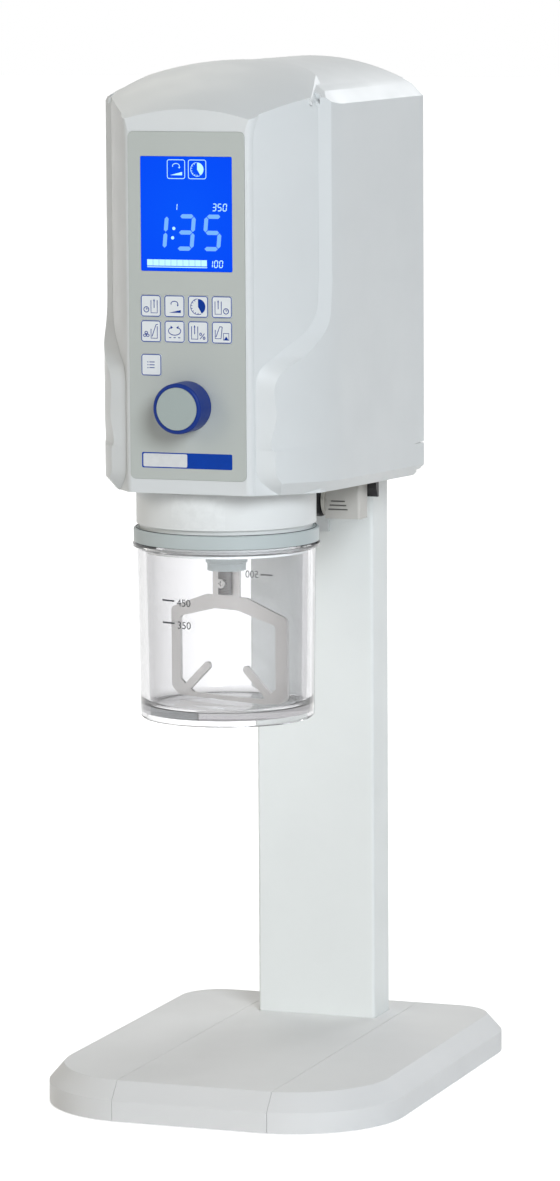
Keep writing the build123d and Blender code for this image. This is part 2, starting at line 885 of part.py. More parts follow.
def rear_housing():
    steps = [wrap_plan(head_bottom + rise, outer, inner) for rise, outer, inner in wrap_steps]
    foot_steps = [wrap_plan(head_bottom + rise, outer, inner) for rise, outer, inner in wrap_foot]
    upper = extrude(steps[0], far_side * 2)
    middle = loft(steps)
    foot = loft(foot_steps, ruled=True)
    block = extrude(wrap_plan(far_low, 0.0, 0.0), far_high - far_low) & above_bottom(0.0) & bottom_flare()
    body = block & (upper + middle + foot) & roof_prism(0.0, head_front_y - past, column_front_y)
    room = wrap_room(head_wall, front_back_depth - past)
    room = room & roof_prism(head_wall, head_front_y, column_front_y + past) & above_bottom(cover_rise)
    mouth = wrap_room(lip_inset + bottom_bevel / 2, 30.0)
    mouth = mouth & box_between((-far_side, head_front_y, far_low),
                                (far_side, back_plate_front_y - 6.0, lower_deck))
    back_room = roof_prism(head_wall, back_plate_front_y, column_front_y + past)
    back_room = back_room & above_bottom(head_wall)
    body = body - front_shell(shell_gap) - room - mouth - back_room
    body -= box_between((-hanger_tab_half_width - free_gap, back_plate_back_y, far_low),
                        (hanger_tab_half_width + free_gap, column_front_y + past, hanger_bottom))
    for x, z in plate_screw_places:
        body += rod_y(screw_boss_radius, back_plate_front_y - screw_boss_length, back_plate_front_y, x, z)
        body -= rod_y(plate_screw_radius + fit_gap, back_plate_front_y - screw_boss_length + 2.0,
                      back_plate_front_y + past, x, z)
    return body


def head_parts():
    save(front_housing(), "front_housing")
    save(rear_housing(), "rear_housing")


# Front panel: foil, screen, keys, knob and the board behind them

def panel_parts():
    foil = panel_outline(0.0, panel_front_y, panel_back_y)
    for cut in key_and_screen_cuts(panel_gap, panel_front_y - past, panel_back_y + past):
        foil -= cut
    foil -= rod_y(knob_shaft_radius + past, panel_front_y - past, panel_back_y + past, 0, knob_height)
    save(foil, "control_panel")

    window = rounded_slab(0, screen_mid_z, screen_width, screen_height, 0.9, panel_front_y, panel_back_y)
    save(window, "display_window")

    frame_front = head_front_y + head_wall + cutout_gap
    module = rounded_slab(0, screen_mid_z, screen_width, screen_height, 0.6, panel_back_y, frame_front)
    module += rounded_slab(0, screen_mid_z, screen_width + 2 * screen_frame,
                           screen_height + 2 * screen_frame, 1.0, frame_front, board_front_y)
    save(module, "display_module")

    pad_front = panel_front_y - key_proud
    pad_back = panel_back_y + key_seat_depth
    for name, (x, z) in zip(key_names, key_places()):
        pad = rounded_slab(x, z, key_width, key_height, key_corner, pad_front, pad_back)
        stem = rod_y(key_stem_radius, pad_back, board_front_y - key_travel - cutout_gap, x, z)
        save(pad + stem, name)

    contact_height = 1.2
    chip_height = 2.0
    board = rounded_slab(0, panel_mid_z, board_width, panel_top - panel_bottom - 4.0,
                         1.5, board_front_y, board_back_y)
    for x, z in key_places():
        board += rounded_slab(x, z, contact_width, contact_length, 0.5,
                              board_back_y, board_back_y + contact_height)
    chip_low = screen_bottom + chip_rise
    board += box_between((-chip_size, board_back_y, chip_low),
                         (0.0, board_back_y + chip_height, chip_low + chip_size))
    save(board, "control_board")


def knob_parts():
    back = panel_front_y - 0.4
    front = back - knob_length
    disc_back = front + knob_disc_thickness + cutout_gap
    knob = Pos(0, 0, knob_height) * Rot(90, 0, 0) * Pos(0, 0, -back) * Cylinder(
        knob_radius, knob_length, align=(Align.CENTER, Align.CENTER, Align.MIN))
    knob = fillet(knob.edges().sort_by(Axis.Y)[:1], knob_edge)
    knob -= rod_y(knob_disc_radius + cutout_gap, front - past, disc_back, 0, knob_height)
    knob -= rod_y(knob_shaft_radius + running_gap, front + knob_web, back + past, 0, knob_height)
    save(knob, "control_knob")
    save(rod_y(knob_disc_radius, front + cutout_gap, disc_back, 0, knob_height), "knob_disc")

    collar_front = head_front_y + head_wall - 0.6
    collar_back = collar_front + 0.8
    shaft = rod_y(knob_shaft_radius, front + knob_web + cutout_gap, collar_front - fit_gap,
                  0, knob_height)
    save(shaft, "knob_shaft")
    encoder = rounded_slab(0, knob_height, 12.4, 12.4, 0.8, collar_back, board_front_y)
    encoder += rod_y(knob_shaft_radius, collar_front, collar_back, 0, knob_height)
    save(encoder, "rotary_encoder")


# Rear plate with its vents, mains inlet and rocker switch

rear_bolts = [(s * rear_bolt_x, z) for s in (-1, 1)
              for z in (lower_deck + rear_bolt_rise, chassis_top - rear_bolt_drop)]
flange_bolts = [(bolt_circle * cos(radians(a)), bowl_axis_y + bolt_circle * sin(radians(a)))
                for a in (45, 135, 225, 315)]


def through_plate(x, z, width, height, corner):
    return rounded_slab(x, z, width, height, corner, back_plate_front_y - past, back_plate_back_y + past)


def back_plate_parts():
    inset = head_wall + cutout_gap
    plate = roof_prism(inset, back_plate_front_y, back_plate_back_y) & above_bottom(inset + 0.6)
    for x, z in plate_screw_places:
        plate -= rod_y(plate_screw_radius + cutout_gap, back_plate_front_y - past,
                       back_plate_back_y + past, x, z)
    for x, z in rear_bolts:
        plate -= rod_y(bolt_radius + fit_gap, back_plate_front_y - past, back_plate_back_y + past, x, z)
    for s in (-1, 1):
        plate -= box_between((s * hook_x - hook_width / 2 - past, back_plate_front_y - past, hook_z - 8.0),
                             (s * hook_x + hook_width / 2 + past, back_plate_back_y + past,
                              hook_z + hanger_thickness + cutout_gap))
        for i in range(vent_count):
            plate -= through_plate(s * vent_x, vent_low + vent_pitch * i, vent_width, vent_height, 1.4)
    plate -= through_plate(inlet_x, inlet_z, inlet_width + 2 * cutout_gap,
                           inlet_height + 2 * cutout_gap, 2.0)
    plate -= through_plate(inlet_x, switch_z, switch_width + 2 * cutout_gap,
                           switch_height + 2 * cutout_gap, 1.0)
    save(plate, "back_plate")

    screws = []
    for x, z in plate_screw_places:
        shank = rod_y(plate_screw_radius, back_plate_front_y - plate_screw_bite, back_plate_back_y, x, z)
        screws.append(shank + rod_y(bolt_head_radius, back_plate_back_y,
                                    back_plate_back_y + plate_screw_head, x, z))
    save(group(screws), "back_plate_screws")
    inlet_parts()
    switch_parts()


def inlet_parts():
    rim = 5.0
    wall = 4.0
    pin_half_width = 1.0
    pin_half_height = 2.0
    cavity_front = back_plate_front_y - inlet_depth + wall
    inlet = rounded_slab(inlet_x, inlet_z, inlet_width + rim, inlet_height + rim, 2.5,
                         back_plate_back_y, back_plate_back_y + 2.0)
    inlet += rounded_slab(inlet_x, inlet_z, inlet_width, inlet_height, 1.8,
                          back_plate_front_y - inlet_depth, back_plate_back_y)
    inlet -= rounded_slab(inlet_x, inlet_z, inlet_width - wall, inlet_height - wall, 3.0,
                          cavity_front, back_plate_back_y + 3.0)
    for dx, dz in ((-4.0, 6.0), (4.0, 0.0), (-4.0, -6.0)):
        x, z = inlet_x + dx, inlet_z + dz
        inlet += box_between((x - pin_half_width, cavity_front - past, z - pin_half_height),
                             (x + pin_half_width, back_plate_back_y - past, z + pin_half_height))
    save(inlet, "power_inlet")


def switch_parts():
    rim = 3.0
    wall = 3.0
    frame = rounded_slab(inlet_x, switch_z, switch_width + rim, switch_height + rim, 1.5,
                         back_plate_back_y, back_plate_back_y + 1.5)
    frame += rounded_slab(inlet_x, switch_z, switch_width, switch_height, 0.8,
                          back_plate_front_y - switch_depth, back_plate_back_y)
    frame -= rounded_slab(inlet_x, switch_z, switch_width - wall, switch_height - wall, 0.5,
                          back_plate_front_y - switch_depth / 2 - 0.5, back_plate_back_y + rim)
    save(frame, "switch_frame")

    # The rocker is a bar with two faces, tilted with its lower half pressed in.
    crest = 2.6
    edge_rise = 1.2
    foot = 2.0
    side = Polyline((-rocker_half, edge_rise), (0.0, crest), (rocker_half, edge_rise),
                    (rocker_half - 0.6, -foot), (-rocker_half + 0.6, -foot), close=True)
    bar = extrude(make_face(side), (switch_width - wall - 0.8) / 2, both=True)
    pivot = Pos(inlet_x, back_plate_back_y - foot, switch_z)
    save(pivot * Rot(rocker_rest, 0, 0) * Rot(0, -90, 0) * bar, "power_switch")


# Inside of the head: chassis, drive, pump and hose

def chassis_parts():
    flange_front = back_plate_front_y - deck_thickness
    side_x = chassis_half_width
    chassis = box_between((-side_x, flange_front, lower_deck), (side_x, back_plate_front_y, chassis_top))
    right = [(deck_nose_half_width, bowl_axis_y - deck_nose_reach),
             (deck_half_width, bowl_axis_y - deck_shoulder), (deck_half_width, deck_waist_y),
             (side_x, deck_neck_y), (side_x, flange_front)]
    left = [(-x, y) for x, y in reversed(right)]
    deck = Polyline(*right, *left, close=True)
    chassis += extrude(Pos(0, 0, lower_deck) * make_face(deck), deck_thickness)
    upper_top = upper_deck + deck_thickness
    upper_back = motor_y + upper_deck_back
    chassis += box_between((-upper_deck_half_width, motor_y - upper_deck_front, upper_deck),
                           (upper_deck_half_width, upper_back, upper_top))
    chassis += box_between((-side_x, upper_back - past, upper_deck),
                           (side_x, flange_front + past, upper_top))
    for s in (-1, 1):
        web = Polyline((flange_front + past, lower_deck + past), (flange_front + past, upper_deck + past),
                       (motor_y - web_front, upper_deck + past),
                       (motor_y + web_front, lower_deck + past), close=True)
        chassis += extrude(Pos(s * (side_x - deck_thickness), 0, 0) * make_face(Plane.YZ * web),
                           deck_thickness / 2, both=True)
    chassis -= rod(bearing_housing_radius + free_gap, 0, far_high, 0, bowl_axis_y)
    chassis -= rod(motor_collar + past, upper_deck - past, upper_top + past, 0, motor_y)
    lower_top = lower_deck + deck_thickness
    chassis -= rod(motor_pulley_radius + 4.0, lower_deck - past, lower_top + past, 0, motor_y)
    for x, y in flange_bolts:
        chassis -= rod(bolt_radius + fit_gap, lower_deck - past, lower_top + past, x, y)
    for x, z in rear_bolts:
        chassis -= rod_y(bolt_radius + fit_gap, flange_front - past, back_plate_back_y, x, z)
    chassis -= rod(hose_radius + past, lower_deck - past, lower_top + past, hose_x, hose_y)
    save(chassis, "chassis")

    bolts = []
    top = lower_deck + bolt_grip
    for x, y in flange_bolts:
        bolts.append(rod(bolt_radius, lower_deck, top, x, y)
                     + rod(bolt_head_radius, top, top + bolt_head_height, x, y))
    for x, z in rear_bolts:
        bolts.append(rod_y(bolt_radius, flange_front, back_plate_back_y, x, z)
                     + rod_y(bolt_head_radius, flange_front - bolt_head_height, flange_front, x, z))
    save(group(bolts), "chassis_bolts")


def drive_parts():
    y = bowl_axis_y
    deck_top = lower_deck + deck_thickness
    housing_low = lower_deck - bearing_housing_drop
    housing_high = housing_low + bearing_housing_length
    housing = rod(bearing_housing_radius, housing_low, housing_high, 0, y)
    housing += rod(bearing_flange_radius, deck_top, lower_deck + bolt_grip, 0, y)
    housing -= rod(bearing_radius - 2.0, 0, far_high, 0, y)
    pockets = ((housing_low, housing_low + bearing_height), (housing_high - bearing_height, housing_high))
    rings = []
    for low, high in pockets:
        housing -= rod(bearing_radius + bearing_gap, low, high, 0, y)
        rings.append(rod(bearing_radius, low, high, 0, y)
                     - rod(spindle_radius + bearing_gap, low - past, high + past, 0, y))
    for bx, by in flange_bolts:
        housing -= rod(bolt_radius + fit_gap, 0, far_high, bx, by)
    save(housing, "bearing_housing")
    save(group(rings), "spindle_bearings")

    nose_top = spindle_bottom + spindle_nose_height
    spindle = rod(spindle_radius, nose_top - past, spindle_top, 0, y)
    spindle += rod(spindle_nose_radius, spindle_bottom, nose_top, 0, y)
    spindle -= extrude(Pos(0, y, spindle_bottom - past) * RegularPolygon(
        shaft_hex / 2 + panel_gap, 6, major_radius=False), shaft_top + past - spindle_bottom)
    save(spindle, "drive_spindle")

    save(pulley(drive_pulley_radius, spindle_radius, 0, y), "drive_pulley")
    save(pulley(motor_pulley_radius, motor_shaft_radius, 0, motor_y), "motor_pulley")
    save(belt_loop(), "drive_belt")
    motor_parts()


def motor_parts():
    bottom = upper_deck + deck_thickness
    shaft_end = bottom + 30.0
    slot_radius = 1.5
    slot_inset = 12.0
    motor = rod(motor_radius, bottom, bottom + motor_height, 0, motor_y)
    motor = fillet(motor.edges().filter_by(GeomType.CIRCLE), 2.0)
    motor += rod(motor_collar, bottom - 2.0, bottom, 0, motor_y)
    for i in range(motor_slots):
        angle = radians(360 / motor_slots * i)
        motor -= rod(slot_radius, bottom + slot_inset, bottom + motor_height - slot_inset,
                     motor_radius * cos(angle), motor_y + motor_radius * sin(angle))
    motor -= rod(motor_shaft_radius + running_gap, bottom - 3.0, shaft_end, 0, motor_y)
    save(motor, "drive_motor")
    save(rod(motor_shaft_radius, pulley_bottom - 2.0, shaft_end - 0.5, 0, motor_y), "motor_shaft")


def pulley(radius, bore, x, y):
    top = pulley_bottom + 2 * (pulley_flange + free_gap) + belt_width
    wheel = rod(radius + pulley_flange, pulley_bottom, top, x, y)
    groove = rod(radius + 2 * pulley_flange, pulley_bottom + pulley_flange, top - pulley_flange, x, y)
    groove -= rod(radius, pulley_bottom, top, x, y)
    return wheel - groove - rod(bore + bearing_gap, pulley_bottom - past, top + past, x, y)


def belt_outline(grow):
    big = drive_pulley_radius + free_gap + grow
    small = motor_pulley_radius + free_gap + grow
    lean = asin((big - small) / (motor_y - bowl_axis_y))
    bx, by = big * cos(lean), bowl_axis_y + big * sin(lean)
    sx, sy = small * cos(lean), motor_y + small * sin(lean)
    return make_face(Curve() + [
        Line((bx, by), (sx, sy)),
        ThreePointArc((sx, sy), (0, motor_y + small), (-sx, sy)),
        Line((-sx, sy), (-bx, by)),
        ThreePointArc((-bx, by), (0, bowl_axis_y - big), (bx, by)),
    ])


def belt_loop():
    bottom = pulley_bottom + pulley_flange + free_gap
    ring = belt_outline(belt_thickness) - belt_outline(0.0)
    return extrude(Pos(0, 0, bottom) * ring, belt_width)


pump_floor = upper_deck + deck_thickness
pump_port_top = pump_floor + pump_height + pump_motor_height + pump_port_height


def pump_parts():
    body_top = pump_floor + pump_height
    motor_top = body_top + pump_motor_height
    pump = box_between((pump_low_x, pump_front_y, pump_floor), (pump_high_x, pump_back_y, body_top))
    pump = fillet(pump.edges().filter_by(Axis.Z), 4.0)
    pump += rod(pump_motor_radius, body_top, motor_top, pump_port_x, pump_port_y)
    pump += rod(pump_port_radius, motor_top, pump_port_top, pump_port_x, pump_port_y)
    save(pump, "vacuum_pump")

    post_height = 4.0
    board_top = pump_floor + post_height + board_thickness
    board = box_between((power_board_low_x, pump_front_y, pump_floor + post_height),
                        (power_board_high_x, pump_back_y, board_top))
    for x, y in ((power_board_low_x, pump_front_y), (power_board_high_x - 6.0, pump_back_y - 6.0)):
        board += rod(2.0, pump_floor, pump_floor + post_height, x + 3.0, y + 3.0)
    board += box_between((power_board_low_x + 3.0, pump_front_y + 4.0, board_top),
                         (power_board_high_x - 3.0, pump_back_y - 6.0, board_top + 19.4))
    save(board, "power_board")


def hose_parts():
    # One upright loop: up from the filter, over the pump and down onto its port.
    run = sqrt((pump_port_x - hose_x) ** 2 + (pump_port_y - hose_y) ** 2)
    heading = ((pump_port_x - hose_x) / run, (pump_port_y - hose_y) / run, 0)
    face = Plane(origin=(hose_x, hose_y, 0), x_dir=heading,
                 z_dir=(heading[1], -heading[0], 0))
    low, high, bend = hose_bottom, hose_crest, hose_bend
    slant = bend * (1 - sin(radians(45)))
    path = Curve() + [
        Line((0, low), (0, high - bend)),
        ThreePointArc((0, high - bend), (slant, high - slant), (bend, high)),
        Line((bend, high), (run - bend, high)),
        ThreePointArc((run - bend, high), (run - slant, high - slant), (run, high - bend)),
        Line((run, high - bend), (run, pump_port_top - 6.0)),
    ]
    path = face * path
    start = Plane(origin=(hose_x, hose_y, low), z_dir=(0, 0, 1))
    hose = sweep(start * Circle(hose_radius), path=path)
    hose -= sweep(start * Circle(pump_port_radius + bearing_gap), path=path)
    save(hose, "vacuum_hose")


# Underside of the head and the filter unit that hangs from it

def bottom_cover_parts():
    inset = head_wall + 2 * cutout_gap
    front = extrude(front_room_plan(front_low, inset, front_back_depth + 2.0), far_side)
    rear = wrap_room(inset + 2.2, front_back_depth)
    rear = rear & box_between((-far_side, head_front_y, far_low),
                              (far_side, back_plate_front_y - free_gap, upper_deck))
    layer = above_bottom(cover_rise) - above_bottom(cover_rise + bottom_cover_thickness)
    cover = (front + rear) & layer
    cover -= rod(lid_radius + dock_gap, far_low, upper_deck, 0, bowl_axis_y)
    cover -= rod(pump_port_radius + fit_gap, far_low, upper_deck, hose_x, hose_y)
    save(cover, "bottom_cover")


def filter_parts():
    nozzle_top = lower_deck + 4.0
    plate_margin = 1.5
    arm_back = holder_arm_front + holder_arm_thickness
    holder = box_between((holder_low_x, filter_front_y - plate_margin, filter_bottom + 1.0),
                         (holder_high_x, filter_back_y + plate_margin, nozzle_top))
    holder = fillet(holder.edges().filter_by(Axis.X).sort_by(Axis.Z)[:2], 3.0)
    holder += box_between((holder_low_x, holder_arm_front, holder_arm_bottom),
                          (holder_arm_high_x, arm_back, filter_top))
    holder += box_between((holder_low_x, holder_arm_front, holder_arm_bottom),
                          (holder_arm_high_x - 2.2, arm_back, nozzle_top))
    holder -= rod_x(disc_radius + free_gap, holder_high_x + holder_lip, far_side,
                    filter_axis_y, filter_mid_z)
    holder += rod_x(holder_neck_radius, holder_high_x, holder_high_x + holder_lip,
                    filter_axis_y, filter_mid_z)
    holder = holder - above_bottom(cover_rise)
    holder += rod(pump_port_radius, filter_top, nozzle_top, hose_x, hose_y)
    save(holder, "filter_holder")

    disc = rod_x(disc_radius, holder_high_x + holder_lip + free_gap, filter_low_x - 0.1,
                 filter_axis_y, filter_mid_z)
    disc += rod_x(filter_nipple_radius, filter_low_x - 0.5, filter_low_x + 3.1,
                  filter_axis_y, filter_mid_z)
    save(disc, "filter_disc")

    cover = box_between((filter_low_x, filter_front_y, filter_bottom),
                        (filter_high_x, filter_back_y, filter_top))
    cover = fillet(cover.edges().filter_by(Axis.Z).sort_by(Axis.X)[2:], filter_corner)
    cover -= box_between(
        (filter_low_x - past, filter_front_y + filter_wall, filter_bottom + filter_wall),
        (filter_high_x - filter_wall, filter_back_y - filter_wall, filter_top - filter_wall))
    for i in range(filter_groove_count):
        width = filter_groove_width + filter_groove_growth * i
        height = filter_bottom + filter_groove_rise - filter_groove_pitch * i
        cover -= rounded_slab(filter_low_x + filter_groove_x, height, width, 1.1, 0.5,
                              filter_front_y - past, filter_front_y + filter_groove_depth)
    save(cover, "filter_cover")


# Lid, bowl and paddle

def turned(points):
    outline = make_face(Plane.XZ * Polyline(*points, close=True))
    return Pos(0, bowl_axis_y, 0) * revolve(outline, Axis.Z)


def lid_parts():
    ring_top = bowl_rim + lid_ring_height
    ring_low = bowl_rim + free_gap
    plug_radius = bowl_top_radius - bowl_wall - free_gap
    groove_radius = lid_radius - lid_groove
    bore = shaft_radius + running_gap
    inner = lid_radius - lid_wall
    lid = turned([
        (bore, lid_plug_bottom), (plug_radius, lid_plug_bottom), (plug_radius, bowl_rim + 0.6),
        (groove_radius, bowl_rim + 0.6), (groove_radius, ring_top), (lid_radius, ring_top),
        (lid_radius, lid_top), (inner, lid_top), (inner, ring_top - lid_wall),
        (inner - 4.0, lid_floor_top), (shaft_radius + 5.0, lid_floor_top),
        (shaft_radius + 5.0, lid_boss_top), (bore, lid_boss_top),
    ])
    save(lid, "lid")
    ring = turned([
        (groove_radius + fit_gap, ring_low), (lid_ring_radius, ring_low),
        (lid_ring_radius, ring_top - 0.6), (lid_ring_radius - 0.6, ring_top),
        (groove_radius + fit_gap, ring_top),
    ])
    save(ring, "lid_seal_ring")
    hub = turned([
        (bore, hub_bottom), (hub_radius - hub_edge, hub_bottom), (hub_radius, hub_bottom + hub_edge),
        (hub_radius, lid_plug_bottom), (bore, lid_plug_bottom),
    ])
    save(hub, "lid_hub")


def bowl_parts():
    inner_top = bowl_top_radius - bowl_wall
    inner_foot = bowl_foot_radius - bowl_wall
    rim_low = bowl_rim - bowl_rim_height
    rim_edge = 1.0
    under_floor = bowl_floor - bowl_floor_thickness
    ring_inner = bowl_foot_radius - bowl_foot_ring
    corner_start = (inner_foot - bowl_corner, bowl_floor)
    corner_end = (inner_foot, bowl_floor + bowl_corner)
    lift = bowl_corner * (1 - cos(radians(45)))
    outer = [
        corner_end, (inner_top, bowl_rim), (bowl_rim_radius - rim_edge, bowl_rim),
        (bowl_rim_radius, bowl_rim - rim_edge), (bowl_rim_radius, rim_low + 0.6),
        (bowl_top_radius, rim_low - 0.8), (bowl_foot_radius, bowl_foot + rim_edge),
        (bowl_foot_radius - rim_edge, bowl_foot), (ring_inner, bowl_foot),
        (ring_inner, under_floor), (0, under_floor), (0, bowl_floor), corner_start,
    ]
    edges = Curve() + [Polyline(*outer),
                       ThreePointArc(corner_start, (inner_foot - lift, bowl_floor + lift), corner_end)]
    save(Pos(0, bowl_axis_y, 0) * revolve(make_face(Plane.XZ * edges), Axis.Z), "mixing_bowl")


def paddle_plane():
    turn = radians(paddle_turn)
    return Plane(origin=(0, bowl_axis_y, 0), x_dir=(cos(turn), sin(turn), 0),
                 z_dir=(sin(turn), -cos(turn), 0))


def paddle_outline():
    # A frame hung from a neck; two fingers reach up inside it from the bottom bar.
    half = paddle_half_width
    neck = paddle_neck
    shoulder = shaft_bottom - 1.1
    corner = shoulder - paddle_shoulder_drop
    foot_rise = 5.0
    foot_run = 6.5
    right = [
        (neck, shoulder), (neck + 5.6, shoulder), (half, corner),
        (half, paddle_bottom + foot_rise), (half - foot_run, paddle_bottom),
    ]
    left = [(-x, z) for x, z in reversed(right)]
    plate = make_face(Polyline((-neck, paddle_neck_top), (neck, paddle_neck_top), *right, *left,
                               close=True))
    plate = fillet([v for v in plate.vertices() if abs(v.X) > neck + paddle_bar], 3.6)
    inner = half - paddle_bar
    bar_low = paddle_bottom + paddle_bottom_bar
    right = [
        (paddle_window_half, shoulder - 8.3), (inner, shoulder - 15.3),
        (inner, paddle_bottom + 10.0), (inner - 11.0, bar_low),
    ]
    left = [(-x, z) for x, z in reversed(right)]
    opening = make_face(Polyline(*right, *left, close=True))
    opening = fillet([v for v in opening.vertices() if abs(v.X) > inner - 1 and v.Y > corner - 10], 2.5)
    plate -= opening
    for s in (-1, 1):
        root = Pos(s * paddle_finger_x, paddle_bottom + paddle_finger_rise)
        plate += root * Rot(0, 0, -s * paddle_finger_turn) * SlotOverall(
            paddle_finger_length, paddle_finger_width)
    return plate


def paddle_parts():
    face = paddle_plane()
    hole = face * Pos(0, screw_height, 0) * Cylinder(screw_radius + fit_gap, 20.0)
    paddle = extrude(face * paddle_outline(), paddle_thickness / 2, both=True)
    save(paddle - hole, "paddle")

    collar_low = lid_boss_top + cutout_gap
    shaft = rod(shaft_radius, shaft_bottom, collar_low + cutout_gap, 0, bowl_axis_y)
    shaft += rod(shaft_radius + shaft_collar, collar_low, collar_top, 0, bowl_axis_y)
    shaft += extrude(Pos(0, bowl_axis_y, collar_top) * RegularPolygon(
        shaft_hex / 2, 6, major_radius=False), shaft_drive)
    slot_height = paddle_neck_top - shaft_bottom
    shaft -= face * Pos(0, shaft_bottom + slot_height / 2, 0) * Box(
        30.0, slot_height + 0.4, paddle_thickness + 2 * bearing_gap)
    shaft -= hole
    shaft -= face * Pos(0, screw_height, shaft_radius) * Cylinder(screw_head_radius + fit_gap, 3.0)
    save(shaft, "paddle_shaft")

    seat = shaft_radius - 1.5
    head_height = 2.2
    cross = Box(3.4, 0.8, 1.6) + Box(0.8, 3.4, 1.6)
    screw = face * Pos(0, screw_height, seat + head_height / 2) * Cylinder(
        screw_head_radius, head_height)
    screw += face * Pos(0, screw_height, 0) * Cylinder(screw_radius, 2 * seat)
    screw -= face * Pos(0, screw_height, seat + 2.0) * cross
    save(screw, "paddle_screw")


os.makedirs("parts", exist_ok=True)
base_parts()
column_parts()
hanger_parts()
head_parts()
panel_parts()
knob_parts()
back_plate_parts()
chassis_parts()
drive_parts()
pump_parts()
hose_parts()
bottom_cover_parts()
filter_parts()
lid_parts()
bowl_parts()
paddle_parts()
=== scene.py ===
import json
import math
import bpy
from mathutils import Matrix, Vector


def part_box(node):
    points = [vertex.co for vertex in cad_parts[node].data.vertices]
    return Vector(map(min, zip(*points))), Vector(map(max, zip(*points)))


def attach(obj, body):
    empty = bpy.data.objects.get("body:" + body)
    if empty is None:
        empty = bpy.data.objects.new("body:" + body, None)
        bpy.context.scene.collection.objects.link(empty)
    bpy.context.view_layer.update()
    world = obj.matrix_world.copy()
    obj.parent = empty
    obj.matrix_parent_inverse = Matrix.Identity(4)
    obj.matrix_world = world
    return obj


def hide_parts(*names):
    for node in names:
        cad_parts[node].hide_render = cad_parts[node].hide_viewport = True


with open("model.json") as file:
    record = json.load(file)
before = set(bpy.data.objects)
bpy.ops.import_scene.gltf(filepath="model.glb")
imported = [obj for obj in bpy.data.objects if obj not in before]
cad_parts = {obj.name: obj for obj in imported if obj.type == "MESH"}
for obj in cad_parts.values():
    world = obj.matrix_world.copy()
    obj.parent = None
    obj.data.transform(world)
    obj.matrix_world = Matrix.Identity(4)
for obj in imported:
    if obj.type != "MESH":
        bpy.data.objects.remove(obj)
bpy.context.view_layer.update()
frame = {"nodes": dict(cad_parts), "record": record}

nodes = frame["nodes"]
mm = 0.001
print("frame loaded:", len(nodes), "nodes")


def deselectAll():
    bpy.ops.object.select_all(action="DESELECT")


def makeActive(obj):
    deselectAll()
    obj.select_set(True)
    bpy.context.view_layer.objects.active = obj


def applyPlace(obj):
    makeActive(obj)
    bpy.ops.object.transform_apply(location=True, rotation=True, scale=True)


def toMesh(obj):
    makeActive(obj)
    bpy.ops.object.convert(target="MESH")


def joinAs(parts, name):
    deselectAll()
    for part in parts:
        part.select_set(True)
    bpy.context.view_layer.objects.active = parts[0]
    if len(parts) > 1:
        bpy.ops.object.join()
    parts[0].name = name
    return parts[0]


# materials: each starts from one plain shader and gets its own surface detail

def linear(red, green, blue):
    # screen values from 0 to 255, as the shader wants them
    def one(value):
        value /= 255
        return value / 12.92 if value <= 0.04045 else ((value + 0.055) / 1.055) ** 2.4
    return one(red), one(green), one(blue), 1.0


def newMaterial(name, color, roughness, metallic=0.0):
    material = bpy.data.materials.new(name)
    material.use_nodes = True
    shader = material.node_tree.nodes["Principled BSDF"]
    shader.inputs["Base Color"].default_value = color
    shader.inputs["Roughness"].default_value = roughness
    shader.inputs["Metallic"].default_value = metallic
    return material


def shaderOf(material):
    return material.node_tree.nodes["Principled BSDF"]


def place(material, scale=(1, 1, 1), turn=(0, 0, 0), centre=(0, 0, 0)):
    # object coordinates through a mapping, so that a pattern can be stretched or centred
    tree = material.node_tree
    coordinates = tree.nodes.new("ShaderNodeTexCoord")
    mapping = tree.nodes.new("ShaderNodeMapping")
    mapping.inputs["Scale"].default_value = scale
    mapping.inputs["Rotation"].default_value = turn
    mapping.inputs["Location"].default_value = centre
    tree.links.new(coordinates.outputs["Object"], mapping.inputs["Vector"])
    return mapping.outputs["Vector"]


def cloud(material, size, stretch=(1, 1, 1), detail=3.0, soft=0.5):
    # a noise whose blotches are about size metres wide
    tree = material.node_tree
    noise = tree.nodes.new("ShaderNodeTexNoise")
    noise.inputs["Scale"].default_value = 1.0 / size
    noise.inputs["Detail"].default_value = detail
    noise.inputs["Roughness"].default_value = soft
    tree.links.new(place(material, stretch), noise.inputs["Vector"])
    return noise.outputs["Fac"]


def ramp(material, value, low, high, start=0.35, end=0.65):
    # value from start to end becomes low to high
    tree = material.node_tree
    span = tree.nodes.new("ShaderNodeMapRange")
    span.inputs["From Min"].default_value = start
    span.inputs["From Max"].default_value = end
    span.inputs["To Min"].default_value = low
    span.inputs["To Max"].default_value = high
    tree.links.new(value, span.inputs["Value"])
    return span.outputs["Result"]


def mixColors(material, value, colorA, colorB):
    tree = material.node_tree
    mix = tree.nodes.new("ShaderNodeMix")
    mix.data_type = "RGBA"
    tree.links.new(value, mix.inputs["Factor"])
    mix.inputs["A"].default_value = colorA
    mix.inputs["B"].default_value = colorB
    return mix.outputs["Result"]


def shade(color, factor):
    return color[0] * factor, color[1] * factor, color[2] * factor, 1.0


def addTone(material, size, amount):
    # the colour drifts a little over the surface
    color = tuple(shaderOf(material).inputs["Base Color"].default_value)
    value = ramp(material, cloud(material, size), 0.0, 1.0)
    out = mixColors(material, value, shade(color, 1 - amount), shade(color, 1 + amount))
    material.node_tree.links.new(out, shaderOf(material).inputs["Base Color"])


def addSheenDrift(material, size, low, high):
    # roughness varies from low to high
    out = ramp(material, cloud(material, size), low, high)
    material.node_tree.links.new(out, shaderOf(material).inputs["Roughness"])


